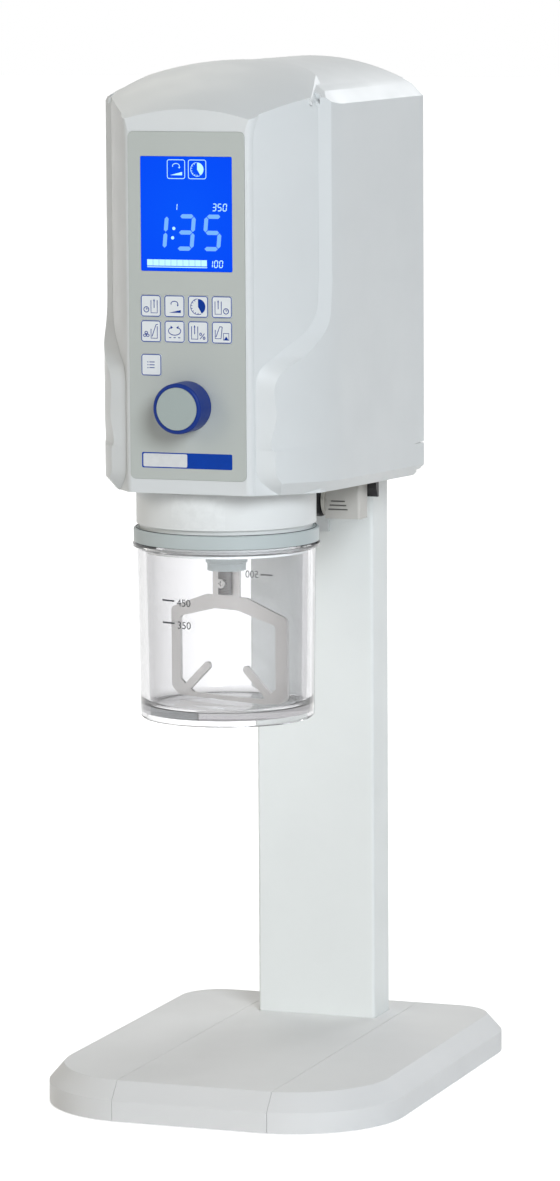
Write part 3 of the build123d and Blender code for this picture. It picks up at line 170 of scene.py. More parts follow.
def addGrain(material, sizes, depths, stretch=(1, 1, 1)):
    # bumps of one or two sizes, depths in metres
    tree = material.node_tree
    last = None
    for size, depth in zip(sizes, depths):
        bump = tree.nodes.new("ShaderNodeBump")
        bump.inputs["Strength"].default_value = 1.0
        bump.inputs["Distance"].default_value = depth
        tree.links.new(cloud(material, size, stretch), bump.inputs["Height"])
        if last:
            tree.links.new(last, bump.inputs["Normal"])
        last = bump.outputs["Normal"]
    tree.links.new(last, shaderOf(material).inputs["Normal"])


# plastics: drift is the range of roughness, grain and depth the bumps' sizes in metres
finish = {
    "shell": {"color": linear(223, 226, 226), "roughness": 0.42, "drift": (0.38, 0.46),
              "grain": (0.0012, 0.0003), "depth": (0.000012, 0.000004)},
    "base": {"color": linear(236, 236, 235), "roughness": 0.5, "drift": (0.46, 0.56),
             "grain": (0.0009, 0.0003), "depth": (0.00002, 0.000008)},
    "column": {"color": linear(242, 245, 243), "roughness": 0.42, "drift": (0.38, 0.46),
               "grain": (0.0015, 0.0004), "depth": (0.00002, 0.000006)},
    "panel": {"color": linear(190, 195, 190), "roughness": 0.55, "drift": (0.5, 0.6),
              "grain": (0.0005,), "depth": (0.000006,)},
    "key": {"color": linear(233, 237, 239), "roughness": 0.4, "drift": (0.36, 0.44),
            "grain": (0.0004,), "depth": (0.000004,)},
    "knob": {"color": linear(4, 46, 128), "roughness": 0.45, "drift": (0.4, 0.52),
             "grain": (0.0005,), "depth": (0.00001,), "specular": 0.25},
    "knobFace": {"color": linear(166, 177, 174), "roughness": 0.5, "drift": (0.46, 0.56),
                 "grain": (0.0005,), "depth": (0.000006,)},
    "lid": {"color": linear(233, 235, 234), "roughness": 0.38, "drift": (0.34, 0.42),
            "grain": (0.0012,), "depth": (0.000003,)},
    "ring": {"color": linear(192, 201, 201), "roughness": 0.45, "drift": (0.4, 0.5),
             "grain": (0.0006,), "depth": (0.00001,)},
    "filterGrey": {"color": linear(206, 203, 197), "roughness": 0.45, "drift": (0.4, 0.5),
                   "grain": (0.0006,), "depth": (0.000012,)},
    "filterPaper": {"color": linear(205, 202, 194), "roughness": 0.85, "drift": (0.8, 0.95),
                    "grain": (0.0006,), "depth": (0.00008,)},
    "black": {"color": linear(34, 34, 36), "roughness": 0.5, "drift": (0.42, 0.58),
              "grain": (0.0006,), "depth": (0.00002,)},
    "rubber": {"color": linear(28, 28, 28), "roughness": 0.75, "drift": (0.68, 0.85),
               "grain": (0.0008,), "depth": (0.00003,)},
    "hose": {"color": linear(190, 196, 196), "roughness": 0.4, "drift": (0.35, 0.5),
             "grain": (0.003,), "depth": (0.00003,)},
    "motor": {"color": linear(60, 62, 66), "roughness": 0.4, "drift": (0.35, 0.5),
              "grain": (0.0008,), "depth": (0.00002,)},
    "board": {"color": linear(24, 92, 56), "roughness": 0.35, "drift": (0.3, 0.4),
              "grain": (0.0012,), "depth": (0.00003,)},
    "cap": {"color": linear(188, 191, 192), "roughness": 0.5, "drift": (0.45, 0.55),
            "grain": (0.0008,), "depth": (0.00002,)},
}


plasticTone = {"size": 0.06, "amount": 0.012}
plasticSheenSize = 0.02


def plasticOf(name):
    look = finish[name]
    material = newMaterial(name, look["color"], look["roughness"])
    shaderOf(material).inputs["Specular IOR Level"].default_value = look.get("specular", 0.5)
    addTone(material, **plasticTone)
    addSheenDrift(material, plasticSheenSize, *look["drift"])
    addGrain(material, look["grain"], look["depth"])
    return material


materials = {name: plasticOf(name) for name in finish}

metals = {
    "sheetSteel": {"color": (0.60, 0.61, 0.63, 1), "roughness": 0.38, "stretch": (1, 1, 12),
                   "size": 0.004, "depth": 0.000006},
    # turned steel: edge is the painted dark reflection along its turned-away sides
    "turnedSteel": {"color": (0.16, 0.155, 0.15, 1), "roughness": 0.22, "stretch": (1, 1, 30),
                    "size": 0.012, "depth": 0.000006, "edge": (0.01, 0.01, 0.01, 1), "blend": 0.5},
    "paddleSteel": {"color": (0.60, 0.59, 0.58, 1), "roughness": 0.42, "stretch": (1, 1, 6),
                    "size": 0.002, "depth": 0.000008},
    "castAluminium": {"color": (0.62, 0.63, 0.65, 1), "roughness": 0.5, "stretch": (1, 1, 1),
                      "size": 0.0015, "depth": 0.00003},
}
metalTone = {"size": 0.03, "amount": 0.03}
metalDrift = (-0.06, 0.08)


def addPaintedEdgeReflection(material, faceColor, paintedReflectionColor, blend):
    # painted reflection: darker where the surface turns away, for the dark surroundings that polished
    # metal and clear walls show there
    weight = material.node_tree.nodes.new("ShaderNodeLayerWeight")
    weight.inputs["Blend"].default_value = blend
    out = mixColors(material, weight.outputs["Facing"], faceColor, paintedReflectionColor)
    material.node_tree.links.new(out, shaderOf(material).inputs["Base Color"])


def metalOf(name):
    look = metals[name]
    material = newMaterial(name, look["color"], look["roughness"], 1.0)
    if "edge" in look:
        addPaintedEdgeReflection(material, look["color"], look["edge"], look["blend"])
    else:
        addTone(material, **metalTone)
    low, high = [look["roughness"] + step for step in metalDrift]
    out = ramp(material, cloud(material, look["size"], look["stretch"]), low, high)
    material.node_tree.links.new(out, shaderOf(material).inputs["Roughness"])
    addGrain(material, (look["size"],), (look["depth"],), look["stretch"])
    return material


materials.update({name: metalOf(name) for name in metals})


# edge is the painted dark reflection where the clear wall turns away
clearLook = {
    "face": (0.87, 0.87, 0.88, 1), "edge": (0.03, 0.03, 0.04, 1), "blend": 0.27,
    "absorbs": (0.35, 0.34, 0.36, 1), "density": 13.0, "ior": 1.49,
    "drift": (0.0, 0.015), "waveSize": 0.03, "waveDepth": 0.00004,
}


def clearPlastic():
    # clear on the face, with painted dark reflection along the wall where it turns away, and it takes
    # some light on its way through
    material = newMaterial("clearPlastic", clearLook["face"], 0.0)
    tree = material.node_tree
    shader = shaderOf(material)
    addPaintedEdgeReflection(material, clearLook["face"], clearLook["edge"], clearLook["blend"])
    shader.inputs["Transmission Weight"].default_value = 1.0
    shader.inputs["IOR"].default_value = clearLook["ior"]
    addSheenDrift(material, clearLook["waveSize"], *clearLook["drift"])
    addGrain(material, (clearLook["waveSize"],), (clearLook["waveDepth"],))
    absorption = tree.nodes.new("ShaderNodeVolumeAbsorption")
    absorption.inputs["Color"].default_value = clearLook["absorbs"]
    absorption.inputs["Density"].default_value = clearLook["density"]
    tree.links.new(absorption.outputs[0], tree.nodes["Material Output"].inputs["Volume"])
    return material


unlitShare = 0.3


def glowing(name, color, strength, roughness=0.2):
    material = newMaterial(name, shade(color, unlitShare), roughness)
    shader = shaderOf(material)
    shader.inputs["Emission Color"].default_value = color
    shader.inputs["Emission Strength"].default_value = strength
    return material


screenLook = {"base": linear(0, 6, 40), "roughness": 0.3, "specular": 0.03,
              "rim": linear(0, 74, 252), "middle": linear(2, 86, 255), "strength": 0.95,
              "reach": 0.06, "flatTo": 0.1, "grain": 0.0008, "depth": 0.000001}


def backlight():
    # the lit screen: a little brighter in its middle
    material = newMaterial("backlight", screenLook["base"], screenLook["roughness"])
    tree = material.node_tree
    shader = shaderOf(material)
    shader.inputs["Specular IOR Level"].default_value = screenLook["specular"]
    middle = [(a + b) / 2 for a, b in zip(*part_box("display_window"))]
    ball = tree.nodes.new("ShaderNodeTexGradient")
    ball.gradient_type = "SPHERICAL"
    size = 1 / screenLook["reach"]
    vector = place(material, (size, size, size), centre=[-size * m for m in middle])
    tree.links.new(vector, ball.inputs["Vector"])
    glow = ramp(material, ball.outputs["Fac"], 0.0, 1.0, screenLook["flatTo"], 1.0)
    out = mixColors(material, glow, screenLook["rim"], screenLook["middle"])
    tree.links.new(out, shader.inputs["Emission Color"])
    shader.inputs["Emission Strength"].default_value = screenLook["strength"]
    addGrain(material, (screenLook["grain"],), (screenLook["depth"],))
    return material


inkAndShadeLook = {"specular": 0.15, "tone": {"size": 0.004, "amount": 0.03}, "grain": 0.0003,
           "depth": 0.000002}


def inkAndShadeMaterial(name, color, roughness=0.45):
    material = newMaterial(name, color, roughness)
    shaderOf(material).inputs["Specular IOR Level"].default_value = inkAndShadeLook["specular"]
    addTone(material, **inkAndShadeLook["tone"])
    addGrain(material, (inkAndShadeLook["grain"],), (inkAndShadeLook["depth"],))
    return material


glows = {
    "segment": {"color": linear(104, 166, 254), "strength": 0.92},
    "bright": {"color": linear(180, 232, 255), "strength": 0.95},
}
# print colours, and the painted shade of the lid seam and the groove floors
inksAndShades = {
    "blueInk": {"color": linear(50, 84, 164)},
    "darkInk": {"color": linear(4, 56, 150)},
    "blueBand": {"color": linear(2, 62, 164), "roughness": 0.4},
    "whiteField": {"color": linear(226, 228, 228), "roughness": 0.4},
    # grey print of the bowl marks, and the painted seam shade under the lid
    "greyInkAndSeamShade": {"color": linear(70, 72, 76)},
    # painted shade of the groove floors on the filter cover
    "grooveShadeGrey": {"color": linear(118, 117, 114)},
    "lidPatch": {"color": linear(238, 240, 239), "roughness": 0.25},
}
materials["clearPlastic"] = clearPlastic()
materials["backlight"] = backlight()
materials.update({name: glowing(name, **look) for name, look in glows.items()})
materials.update({name: inkAndShadeMaterial(name, **look) for name, look in inksAndShades.items()})

slotFinish = {
    "housing_shell": "shell", "base_shell": "base", "column_coat": "column",
    "steel_sheet": "sheetSteel", "machined_steel": "turnedSteel", "motor_case": "motor",
    "pump_case": "castAluminium", "panel_foil": "panel", "display_glass": "backlight",
    "display_case": "black", "key_foil": "key", "knob_blue": "knob", "knob_face": "knobFace",
    "circuit_board": "board", "black_plastic": "black", "grey_plastic": "filterGrey",
    "light_plastic": "filterPaper", "lid_plastic": "lid", "seal_rubber": "ring",
    "clear_plastic": "clearPlastic", "black_rubber": "rubber", "hose_tube": "hose",
}
nodeFinish = {
    "paddle": "paddleSteel", "paddle_screw": "paddleSteel", "column_cap": "cap",
    "hanger_bracket": "shell",
}
for entry in frame["record"]["subparts"]:
    node = entry["node"]
    look = nodeFinish.get(node, slotFinish[entry["material_slot"]])
    nodes[node].data.materials.clear()
    nodes[node].data.materials.append(materials[look])
# light reaches what is inside the clear bowl
nodes["mixing_bowl"].visible_shadow = False
print("materials made:", len(materials))


# pieces that stand in for a CAD node, with its shape refined

# metres, and the degrees up to which an edge is smooth
mergeReach = 0.000002
smoothTurn = 26


def copyOf(node, name):
    copy = bpy.data.objects.new(name, nodes[node].data.copy())
    bpy.context.scene.collection.objects.link(copy)
    copy.matrix_world = nodes[node].matrix_world
    applyPlace(copy)
    bpy.ops.mesh.customdata_custom_splitnormals_clear()
    bpy.ops.object.mode_set(mode="EDIT")
    bpy.ops.mesh.select_all(action="SELECT")
    bpy.ops.mesh.remove_doubles(threshold=mergeReach)
    bpy.ops.object.mode_set(mode="OBJECT")
    return copy


def combine(piece, other, operation):
    change = piece.modifiers.new("combine", "BOOLEAN")
    change.operation = operation
    change.solver = "EXACT"
    change.object = other
    makeActive(piece)
    bpy.ops.object.modifier_apply(modifier=change.name)
    bpy.data.objects.remove(other)


def blockBetween(low, high):
    middle = [(a + b) / 2 * mm for a, b in zip(low, high)]
    bpy.ops.mesh.primitive_cube_add(size=1, location=middle)
    block = bpy.context.active_object
    block.scale = [(b - a) * mm for a, b in zip(low, high)]
    applyPlace(block)
    return block


def standFor(piece, node, body):
    makeActive(piece)
    bpy.ops.object.shade_smooth_by_angle(angle=math.radians(smoothTurn))
    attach(piece, body)
    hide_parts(node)


# millimetres: blocks fill the seam beside the dome, slope cuts the corner between dome and band,
# and stop is the block that ends the cut
shoulder = {
    "domeRadius": 189.3, "domeCentre": (0, -35, 455.9), "domeSegments": 160,
    "above": ((-80, -96, 612), (80, -71, 650)),
    "blocks": (
        {"inner": 56.5, "outer": (66.8, 66.8), "depth": (-88.4, -79.0), "low": 614, "top": (629, 629)},
        {"inner": 58.0, "outer": (67.6, 70.5), "depth": (-85.5, -78.5), "low": 606, "top": (628, 621)},
    ),
    "slope": {"depth": (-96, -82.5), "x": 62.6, "z": 627.0, "turn": 50, "end": 67.8},
    "slopeSize": (60, 20),
    "stop": {"width": 60, "margin": 5, "low": 500, "high": 700},
}


def sideBlock(side, inner, outer, depth, low, top):
    # a block whose outer side leans from front to back and whose top leans from inside to outside
    block = blockBetween((-1, depth[0], low), (1, depth[1], max(top)))
    middle = sum(depth) / 2 * mm
    for vertex in block.data.vertices:
        outside, behind = vertex.co.x > 0, vertex.co.y > middle
        if vertex.co.z > (low + 1) * mm:
            vertex.co.z = top[outside] * mm
        vertex.co.x = (outer[behind] if outside else inner) * mm
    if side < 0:
        # a mirrored block is inside out until its faces are turned round
        block.scale.x = -1
        applyPlace(block)
        bpy.ops.object.mode_set(mode="EDIT")
        bpy.ops.mesh.select_all(action="SELECT")
        bpy.ops.mesh.normals_make_consistent(inside=False)
        bpy.ops.object.mode_set(mode="OBJECT")
    return block


def sideSlope(side):
    # a tilted block over the corner, ending where the band begins
    look, stop = shoulder["slope"], shoulder["stop"]
    front, back = look["depth"]
    length, height = shoulder["slopeSize"]
    slope = blockBetween((-length / 2, front, 0), (length / 2, back, height))
    slope.rotation_euler = (0, side * math.radians(look["turn"]), 0)
    slope.location = (side * look["x"] * mm, 0, look["z"] * mm)
    applyPlace(slope)
    left, right = sorted((side * look["end"], side * (look["end"] + stop["width"])))
    rest = blockBetween((left, front - stop["margin"], stop["low"]),
                        (right, back + stop["margin"], stop["high"]))
    combine(slope, rest, "DIFFERENCE")
    return slope


def domeCutter():
    # what lies above the dome, over the rear shell's front edge
    cutter = blockBetween(*shoulder["above"])
    bpy.ops.mesh.primitive_uv_sphere_add(
        segments=shoulder["domeSegments"], ring_count=shoulder["domeSegments"] // 2,
        radius=shoulder["domeRadius"] * mm,
        location=[value * mm for value in shoulder["domeCentre"]])
    ball = bpy.context.active_object
    applyPlace(ball)
    combine(cutter, ball, "DIFFERENCE")
    return cutter


def makeRearShell():
    # the rear shell ends flush below the dome, with its seam closed and its front corners cut
    shell = copyOf("rear_housing", "rear_shell")
    for side in (-1, 1):
        for shape in shoulder["blocks"]:
            combine(shell, sideBlock(side, **shape), "UNION")
    combine(shell, domeCutter(), "DIFFERENCE")
    for side in (-1, 1):
        combine(shell, sideSlope(side), "DIFFERENCE")
    standFor(shell, "rear_housing", "stand")


lidUp = 3.0


def raiseLid(node, name):
    # the lid and its hub stand a little higher than their solids
    piece = copyOf(node, name)
    piece.location.z = lidUp * mm
    applyPlace(piece)
    standFor(piece, node, "lid_unit")


makeRearShell()
raiseLid("lid", "lid_shell")
raiseLid("lid_hub", "hub_boss")
print("rear shell and lid refined")


# flat graphics: filled shapes and pen lines, drawn in millimetres and stood up on a plane

ink = {"thickness": 0.04, "sunk": 0.02}


def standUp(obj, x, y, z):
    # from the drawing plane to a plane that faces the front, at depth y
    obj.rotation_euler = (math.radians(90), 0, 0)
    obj.location = (x * mm, y * mm, z * mm)
    obj.scale = (mm, mm, mm)
    toMesh(obj)
    applyPlace(obj)
    return obj


def filled(loops, x, y, z):
    curve = bpy.data.curves.new("drawing", "CURVE")
    curve.dimensions = "2D"
    curve.fill_mode = "BOTH"
    curve.extrude = ink["thickness"] / 2
    for loop in loops:
        spline = curve.splines.new("POLY")
        spline.points.add(len(loop) - 1)
        for point, (px, pz) in zip(spline.points, loop):
            point.co = (px, pz, 0, 1)
        spline.use_cyclic_u = True
    obj = bpy.data.objects.new("drawing", curve)
    bpy.context.scene.collection.objects.link(obj)
    return standUp(obj, x, y - ink["thickness"] / 2 + ink["sunk"], z)


def penLine(points, width, x, y, z, closed=False):
    # a pen stroke: a thin tube along the points, pressed flat
    curve = bpy.data.curves.new("stroke", "CURVE")
    curve.dimensions = "3D"
    curve.bevel_depth = width / 2
    curve.bevel_resolution = 1
    curve.use_fill_caps = True
    spline = curve.splines.new("POLY")
    spline.points.add(len(points) - 1)
    for point, (px, pz) in zip(spline.points, points):
        point.co = (px, pz, 0, 1)
    spline.use_cyclic_u = closed
    obj = bpy.data.objects.new("stroke", curve)
    bpy.context.scene.collection.objects.link(obj)
    toMesh(obj)
    obj.scale = (1, 1, ink["thickness"] / width)
    applyPlace(obj)
    return standUp(obj, x, y - ink["thickness"] / 2 + ink["sunk"], z)


def ellipse(cx, cz, rx, rz, start=0.0, end=360.0, count=32):
    angles = [math.radians(start + (end - start) * i / count) for i in range(count + 1)]
    if abs(end - start) >= 360:
        angles = angles[:-1]
    return [(cx + rx * math.cos(a), cz + rz * math.sin(a)) for a in angles]


def roundedBox(width, height, corner, cx=0.0, cz=0.0):
    points = []
    for k, (sx, sz) in enumerate(((1, 1), (-1, 1), (-1, -1), (1, -1))):
        mx, mz = cx + sx * (width / 2 - corner), cz + sz * (height / 2 - corner)
        points += ellipse(mx, mz, corner, corner, 90 * k, 90 * k + 90, 6)
    return points


def barShape(x0, z0, x1, z1):
    return [(x0, z0), (x1, z0), (x1, z1), (x0, z1)]


# seven-segment numbers, leaning a little to the right; the gap is a share of the stroke

segmentsOf = {"0": "abcdef", "1": "bc", "2": "abged", "3": "abgcd", "4": "fgbc", "5": "afgcd",
              "6": "afgedc", "7": "abc", "8": "abcdefg", "9": "abcdfg"}
digitLook = {"lean": 0.09, "gapShare": 0.12}


def digitLoops(text, x, z, width, height, stroke, pitch):
    loops = []
    lean, gap = digitLook["lean"], stroke * digitLook["gapShare"]
    for order, letter in enumerate(text):
        x0 = x + pitch * order
        half = stroke / 2
        left, right = half, width - half
        low, middle, high = half, height / 2, height - half
        ends = {"a": ((left, high), (right, high)), "g": ((left, middle), (right, middle)),
                "d": ((left, low), (right, low)), "f": ((left, middle), (left, high)),
                "b": ((right, middle), (right, high)), "e": ((left, low), (left, middle)),
                "c": ((right, low), (right, middle))}
        for name in segmentsOf[letter]:
            (ax, az), (bx, bz) = ends[name]
            if az == bz:
                ax, bx = ax + gap, bx - gap
                shape = [(ax, az), (ax + half, az + half), (bx - half, az + half), (bx, az),
                         (bx - half, az - half), (ax + half, az - half)]
            else:
                az, bz = az + gap, bz - gap
                shape = [(ax, az), (ax + half, az + half), (ax + half, bz - half), (ax, bz),
                         (ax - half, bz - half), (ax - half, az + half)]
            loops.append([(x0 + px + lean * pz, z + pz) for px, pz in shape])
    return loops


def finishPiece(parts, name, look, body):
    piece = joinAs(parts, name)
    piece.data.materials.clear()
    piece.data.materials.append(materials[look])
    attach(piece, body)
    return piece


# drawn shapes: fill is a list of loops, line an open stroke, ring a closed one, thin a finer one

thinShare = 0.8


def drawn(shapes, line, x, y, z):
    parts = []
    for kind, points in shapes:
        if kind == "fill":
            parts.append(filled(points, x, y, z))
        else:
            width = line * thinShare if kind == "thin" else line
            parts.append(penLine(points, width, x, y, z, kind == "ring"))
    return parts


clock = {"inner": 0.78, "outer": 0.95, "tickShare": 0.4, "ticks": range(120, 271, 25),
         "sector": (90, -60), "arc": (95, 295), "points": 24}


def clockFace(radius, line):
    # the sector from twelve to five is filled, the left part has ticks
    inner, outer, half = radius * clock["inner"], radius * clock["outer"], line * clock["tickShare"]
    loops = [[(0, 0)] + ellipse(0, 0, radius, radius, *clock["sector"], clock["points"])]
    for degrees in clock["ticks"]:
        angle = math.radians(degrees)
        ca, sa = math.cos(angle), math.sin(angle)
        loops.append([(inner * ca - half * sa, inner * sa + half * ca),
                      (outer * ca - half * sa, outer * sa + half * ca),
                      (outer * ca + half * sa, outer * sa - half * ca),
                      (inner * ca + half * sa, inner * sa - half * ca)])
    return [("fill", loops), ("thin", ellipse(0, 0, radius, radius, *clock["arc"], clock["points"]))]


def speedArrow(up):
    # an open circle with an arrow head
    head = [(1.4, up - 0.6), (2.8, up - 0.5), (2.1, up - 1.6)]
    return [("line", ellipse(0, up, 2.2, 1.5, 200, -20, 18)), ("fill", [head])]


# what the backlit screen shows; numbers are text, x, z, width, height, stroke and pitch

display = {
    "bigDigits": ("35", -7.2, 534.7, 11.6, 21.8, 2.5, 17.1),
    "leadDigit": ("1", -24.6, 534.7, 11.6, 21.8, 2.5, 17.1),
    "colon": ((-8.0, 547.9), (-8.8, 542.3)), "colonRadius": 1.0,
    "program": ("1", -8.4, 558.7, 2.6, 4.2, 0.5, 3.2),
    "speed": ("350", 16.5, 558.5, 2.6, 4.6, 0.55, 3.35),
    "level": ("100", 14.2, 524.7, 2.5, 4.5, 0.55, 3.2),
    "levelBar": (-25.3, 525.5, 13.2, 529.2), "levelCells": 10, "levelGap": 0.18,
    "levelLine": (-1.0, -0.5),
    "icons": ((-6.3, 583.3), (7.2, 583.3)), "iconSize": 11.2, "iconCorner": 1.2, "line": 0.42,
    "wedge": [(-3.8, -3.6), (3.9, -3.6), (3.9, -1.6)], "arrowUp": 1.9, "clockRadius": 4.1,
}


def makeDisplay():
    look, line = display, display["line"]
    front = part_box("display_window")[0].y / mm
    big = digitLoops(*look["bigDigits"]) + digitLoops(*look["leadDigit"])
    finishPiece([filled(big, 0, front, 0)], "display_digits", "segment", "stand")

    loops = []
    for cx, cz in look["colon"]:
        loops.append(ellipse(cx, cz, look["colonRadius"], look["colonRadius"], count=20))
    for key in ("program", "speed", "level"):
        loops += digitLoops(*look[key])
    x0, z0, x1, z1 = look["levelBar"]
    step = (x1 - x0) / look["levelCells"]
    for i in range(look["levelCells"]):
        loops.append(barShape(x0 + step * i, z0, x0 + step * (i + 1) - look["levelGap"], z1))
    low, high = look["levelLine"]
    loops.append(barShape(x0, z0 + low, x1, z0 + high))
    parts = [filled(loops, 0, front, 0)]

    frameShape = [("ring", roundedBox(look["iconSize"], look["iconSize"], look["iconCorner"]))]
    for cx, cz in look["icons"]:
        parts += drawn(frameShape, line, cx, front, cz)
    symbols = ([("fill", [look["wedge"]])] + speedArrow(look["arrowUp"]),
               clockFace(look["clockRadius"], line))
    for (cx, cz), shapes in zip(look["icons"], symbols):
        parts += drawn(shapes, line, cx, front, cz)
    finishPiece(parts, "display_symbols", "bright", "stand")


makeDisplay()
print("display drawn")


# key symbols, in millimetres from the middle of each key

keyLook = {"outline": (12.2, 12.4, 1.3), "outlineWidth": 0.56, "line": 0.5}


def beaker(x, width=4.0, high=3.4, low=-4.2):
    return [("line", [(x, high), (x, low), (x + width, low), (x + width, high)])]


def smallClock(x, z):
    hands = [(x, z + 1.1), (x, z), (x + 0.8, z + 0.5)]
    return [("ring", ellipse(x, z, 1.6, 1.6, count=20)), ("line", hands)]


def stirrer(x):
    tip = [(x - 0.6, 2.9), (x + 0.6, 2.9), (x, 4.3)]
    return [("line", [(x, 3.8), (x, -1.2)]), ("fill", [tip])]


def propeller(x, z):
    # three blades round a point
    middles = ellipse(x, z, 1.1, 1.1, 90, 450, 3)
    return [("ring", ellipse(bx, bz, 0.9, 0.7, count=14)) for bx, bz in middles]


def turnBack():
    # a loop with an arrow head at each end, over three dashes
    shapes = [("line", ellipse(0, 0.4, 3.9, 2.5, 60, -240, 28))]
    for side in (-1, 1):
        head = [(side * 1.0, 2.4), (side * 2.6, 3.6), (side * 2.4, 1.6)]
        shapes.append(("fill", [head[::side]]))
        shapes.append(("line", [(side * 3.6, -3.6), (side * 2.2, -3.6)]))
    return shapes + [("line", [(-0.7, -3.6), (0.7, -3.6)])]


def percent():
    shapes = [("line", [(1.2, -4.0), (4.0, -0.8)])]
    return shapes + [("ring", ellipse(x, z, 0.6, 0.7, count=14)) for x, z in ((1.5, -1.2), (3.7, -3.5))]


def rows(heights):
    # lines of a list, each behind its dot
    shapes = []
    for z in heights:
        shapes.append(("line", [(-1.2, z), (2.1, z)]))
        shapes.append(("fill", [ellipse(-2.2, z, 0.35, 0.35, count=10)]))
    return shapes


keySymbols = {
    "premix_key": beaker(0.1) + stirrer(2.1) + smallClock(-2.9, -2.2),
    "speed_key": [("fill", [[(-3.6, -3.9), (4.1, -3.9), (4.1, -2.2)]])] + speedArrow(1.5),
    "time_key": clockFace(4.7, keyLook["line"]),
    "postmix_key": beaker(-4.3) + stirrer(-2.3) + smallClock(2.7, -2.4),
    "stir_key": propeller(-3.1, -2.0) + [
        ("line", [(0.0, 1.4), (0.0, -4.2), (4.0, -4.2), (4.0, 3.0)]),
        ("line", [(0.6, -3.2), (3.2, 3.9), (4.4, 4.2)])],
    "reverse_key": turnBack(),
    "vacuum_key": beaker(-4.3) + stirrer(-2.3) + percent(),
    "vessel_key": [
        ("line", [(-4.3, 1.6), (-4.3, -3.6), (-0.6, -3.6), (0.2, 3.4)]),
        ("line", [(-3.8, -2.6), (-1.4, 3.6), (0.2, 3.4)]),
        ("ring", barShape(1.0, -4.4, 4.4, -0.4)),
        ("fill", [[(1.2, -4.3), (4.2, -4.3), (2.7, -2.2)]])],
    "program_key": rows((1.7, 0.0, -1.7)),
}


def makeKeys():
    for name, shapes in sorted(keySymbols.items()):
        low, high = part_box(name)
        x, z = (low.x + high.x) / 2 / mm, (low.z + high.z) / 2 / mm
        front = low.y / mm
        outline = penLine(roundedBox(*keyLook["outline"]), keyLook["outlineWidth"], x, front, z, True)
        body = name + "_cap"
        finishPiece([outline], name + "_outline", "blueInk", body)
        symbol = drawn(shapes, keyLook["line"], x, front, z)
        finishPiece(symbol, name + "_symbol", "darkInk", body)


makeKeys()
print("keys printed")


# the coloured band under the knob, left bare

band = {
    "name_band": {"look": "blueBand", "low": (-29.8, 403.6), "high": (28.4, 413.0), "lift": 0.0},
    "name_field": {"look": "whiteField", "low": (-28.9, 404.3), "high": (-0.6, 412.3), "lift": 0.03},
}
bandCorner = 0.9


def makeBand():
    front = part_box("control_panel")[0].y / mm
    for name, part in band.items():
        (x0, z0), (x1, z1) = part["low"], part["high"]
        shape = roundedBox(x1 - x0, z1 - z0, bandCorner)
        flat = filled([shape], (x0 + x1) / 2, front - part["lift"], (z0 + z1) / 2)
        finishPiece([flat], name, part["look"], "stand")


makeBand()
print("band placed")


# marks on the bowl and the patch on the lid: strips and numbers that follow a round wall

bowlAxis = (0.0, -71.0)
stripSegments = 360
fullTurn = (-181, 181)
# ticks are start and end angle and height, numbers are text, angle, height and size
bowlMarks = {
    "radiusTop": 55.1, "radiusFoot": 53.6, "top": 349.4, "foot": 245.7,
    "tickHeight": 1.0, "thickness": 0.06, "lift": 0.03, "rise": 0.02,
    "ticks": ((-115.5, -104.6, 321.5), (-115.5, -104.6, 307.8), (75.9, 86.0, 325.8)),
    "numbers": (("450", -103.0, 318.4, 6.4), ("350", -103.0, 304.7, 6.4), ("500", 87.5, 323.6, 6.4)),
}


def bowlRadius(z):
    look = bowlMarks
    share = (z - look["foot"]) / (look["top"] - look["foot"])
    return look["radiusFoot"] + (look["radiusTop"] - look["radiusFoot"]) * share


def roundStrip(radius, start, end, low, high, thickness):
    # a strip of a round wall from angle start to end, degrees from +X
    bpy.ops.mesh.primitive_cylinder_add(
        vertices=stripSegments, radius=radius * mm, depth=(high - low) * mm, end_fill_type="NOTHING",
        location=(bowlAxis[0] * mm, bowlAxis[1] * mm, (low + high) / 2 * mm))
    strip = bpy.context.active_object
    applyPlace(strip)
    bpy.ops.object.mode_set(mode="EDIT")
    bpy.ops.mesh.select_mode(type="FACE")
    bpy.ops.mesh.select_all(action="DESELECT")
    bpy.ops.object.mode_set(mode="OBJECT")
    for face in strip.data.polygons:
        offset = face.center - Vector((bowlAxis[0] * mm, bowlAxis[1] * mm, 0))
        angle = math.degrees(math.atan2(offset.y, offset.x))
        face.select = not start < angle < end
    bpy.ops.object.mode_set(mode="EDIT")
    bpy.ops.mesh.delete(type="FACE")
    bpy.ops.object.mode_set(mode="OBJECT")
    wall = strip.modifiers.new("thickness", "SOLIDIFY")
    wall.thickness = thickness * mm
    wall.offset = 1.0
    makeActive(strip)
    bpy.ops.object.modifier_apply(modifier=wall.name)
    return strip


def roundNumber(text, angle, z, size):
    # plain digits wrapped on the bowl's wall, read from outside
    bpy.ops.object.text_add()
    number = bpy.context.active_object
    number.data.body = text
    number.data.size = size
    number.data.extrude = bowlMarks["rise"]
    toMesh(number)
    radius = bowlRadius(z) + bowlMarks["lift"]
    for vertex in number.data.vertices:
        turn = math.radians(angle) + vertex.co.x / radius
        far = radius + vertex.co.z
        vertex.co = Vector(((bowlAxis[0] + far * math.cos(turn)) * mm,
                            (bowlAxis[1] + far * math.sin(turn)) * mm, (z + vertex.co.y) * mm))
    return number


def makeBowlMarks():
    look = bowlMarks
    half = look["tickHeight"] / 2
    parts = []
    for start, end, z in look["ticks"]:
        radius = bowlRadius(z) + look["lift"]
        parts.append(roundStrip(radius, start, end, z - half, z + half, look["thickness"]))
    for text, angle, z, size in look["numbers"]:
        parts.append(roundNumber(text, angle, z, size))
    finishPiece(parts, "bowl_marks", "greyInkAndSeamShade", "bowl")


lidPatch = {"radius": 55.4, "start": -106.5, "end": -70.5, "low": 365.0, "high": 386.4,
            "thickness": 0.05}


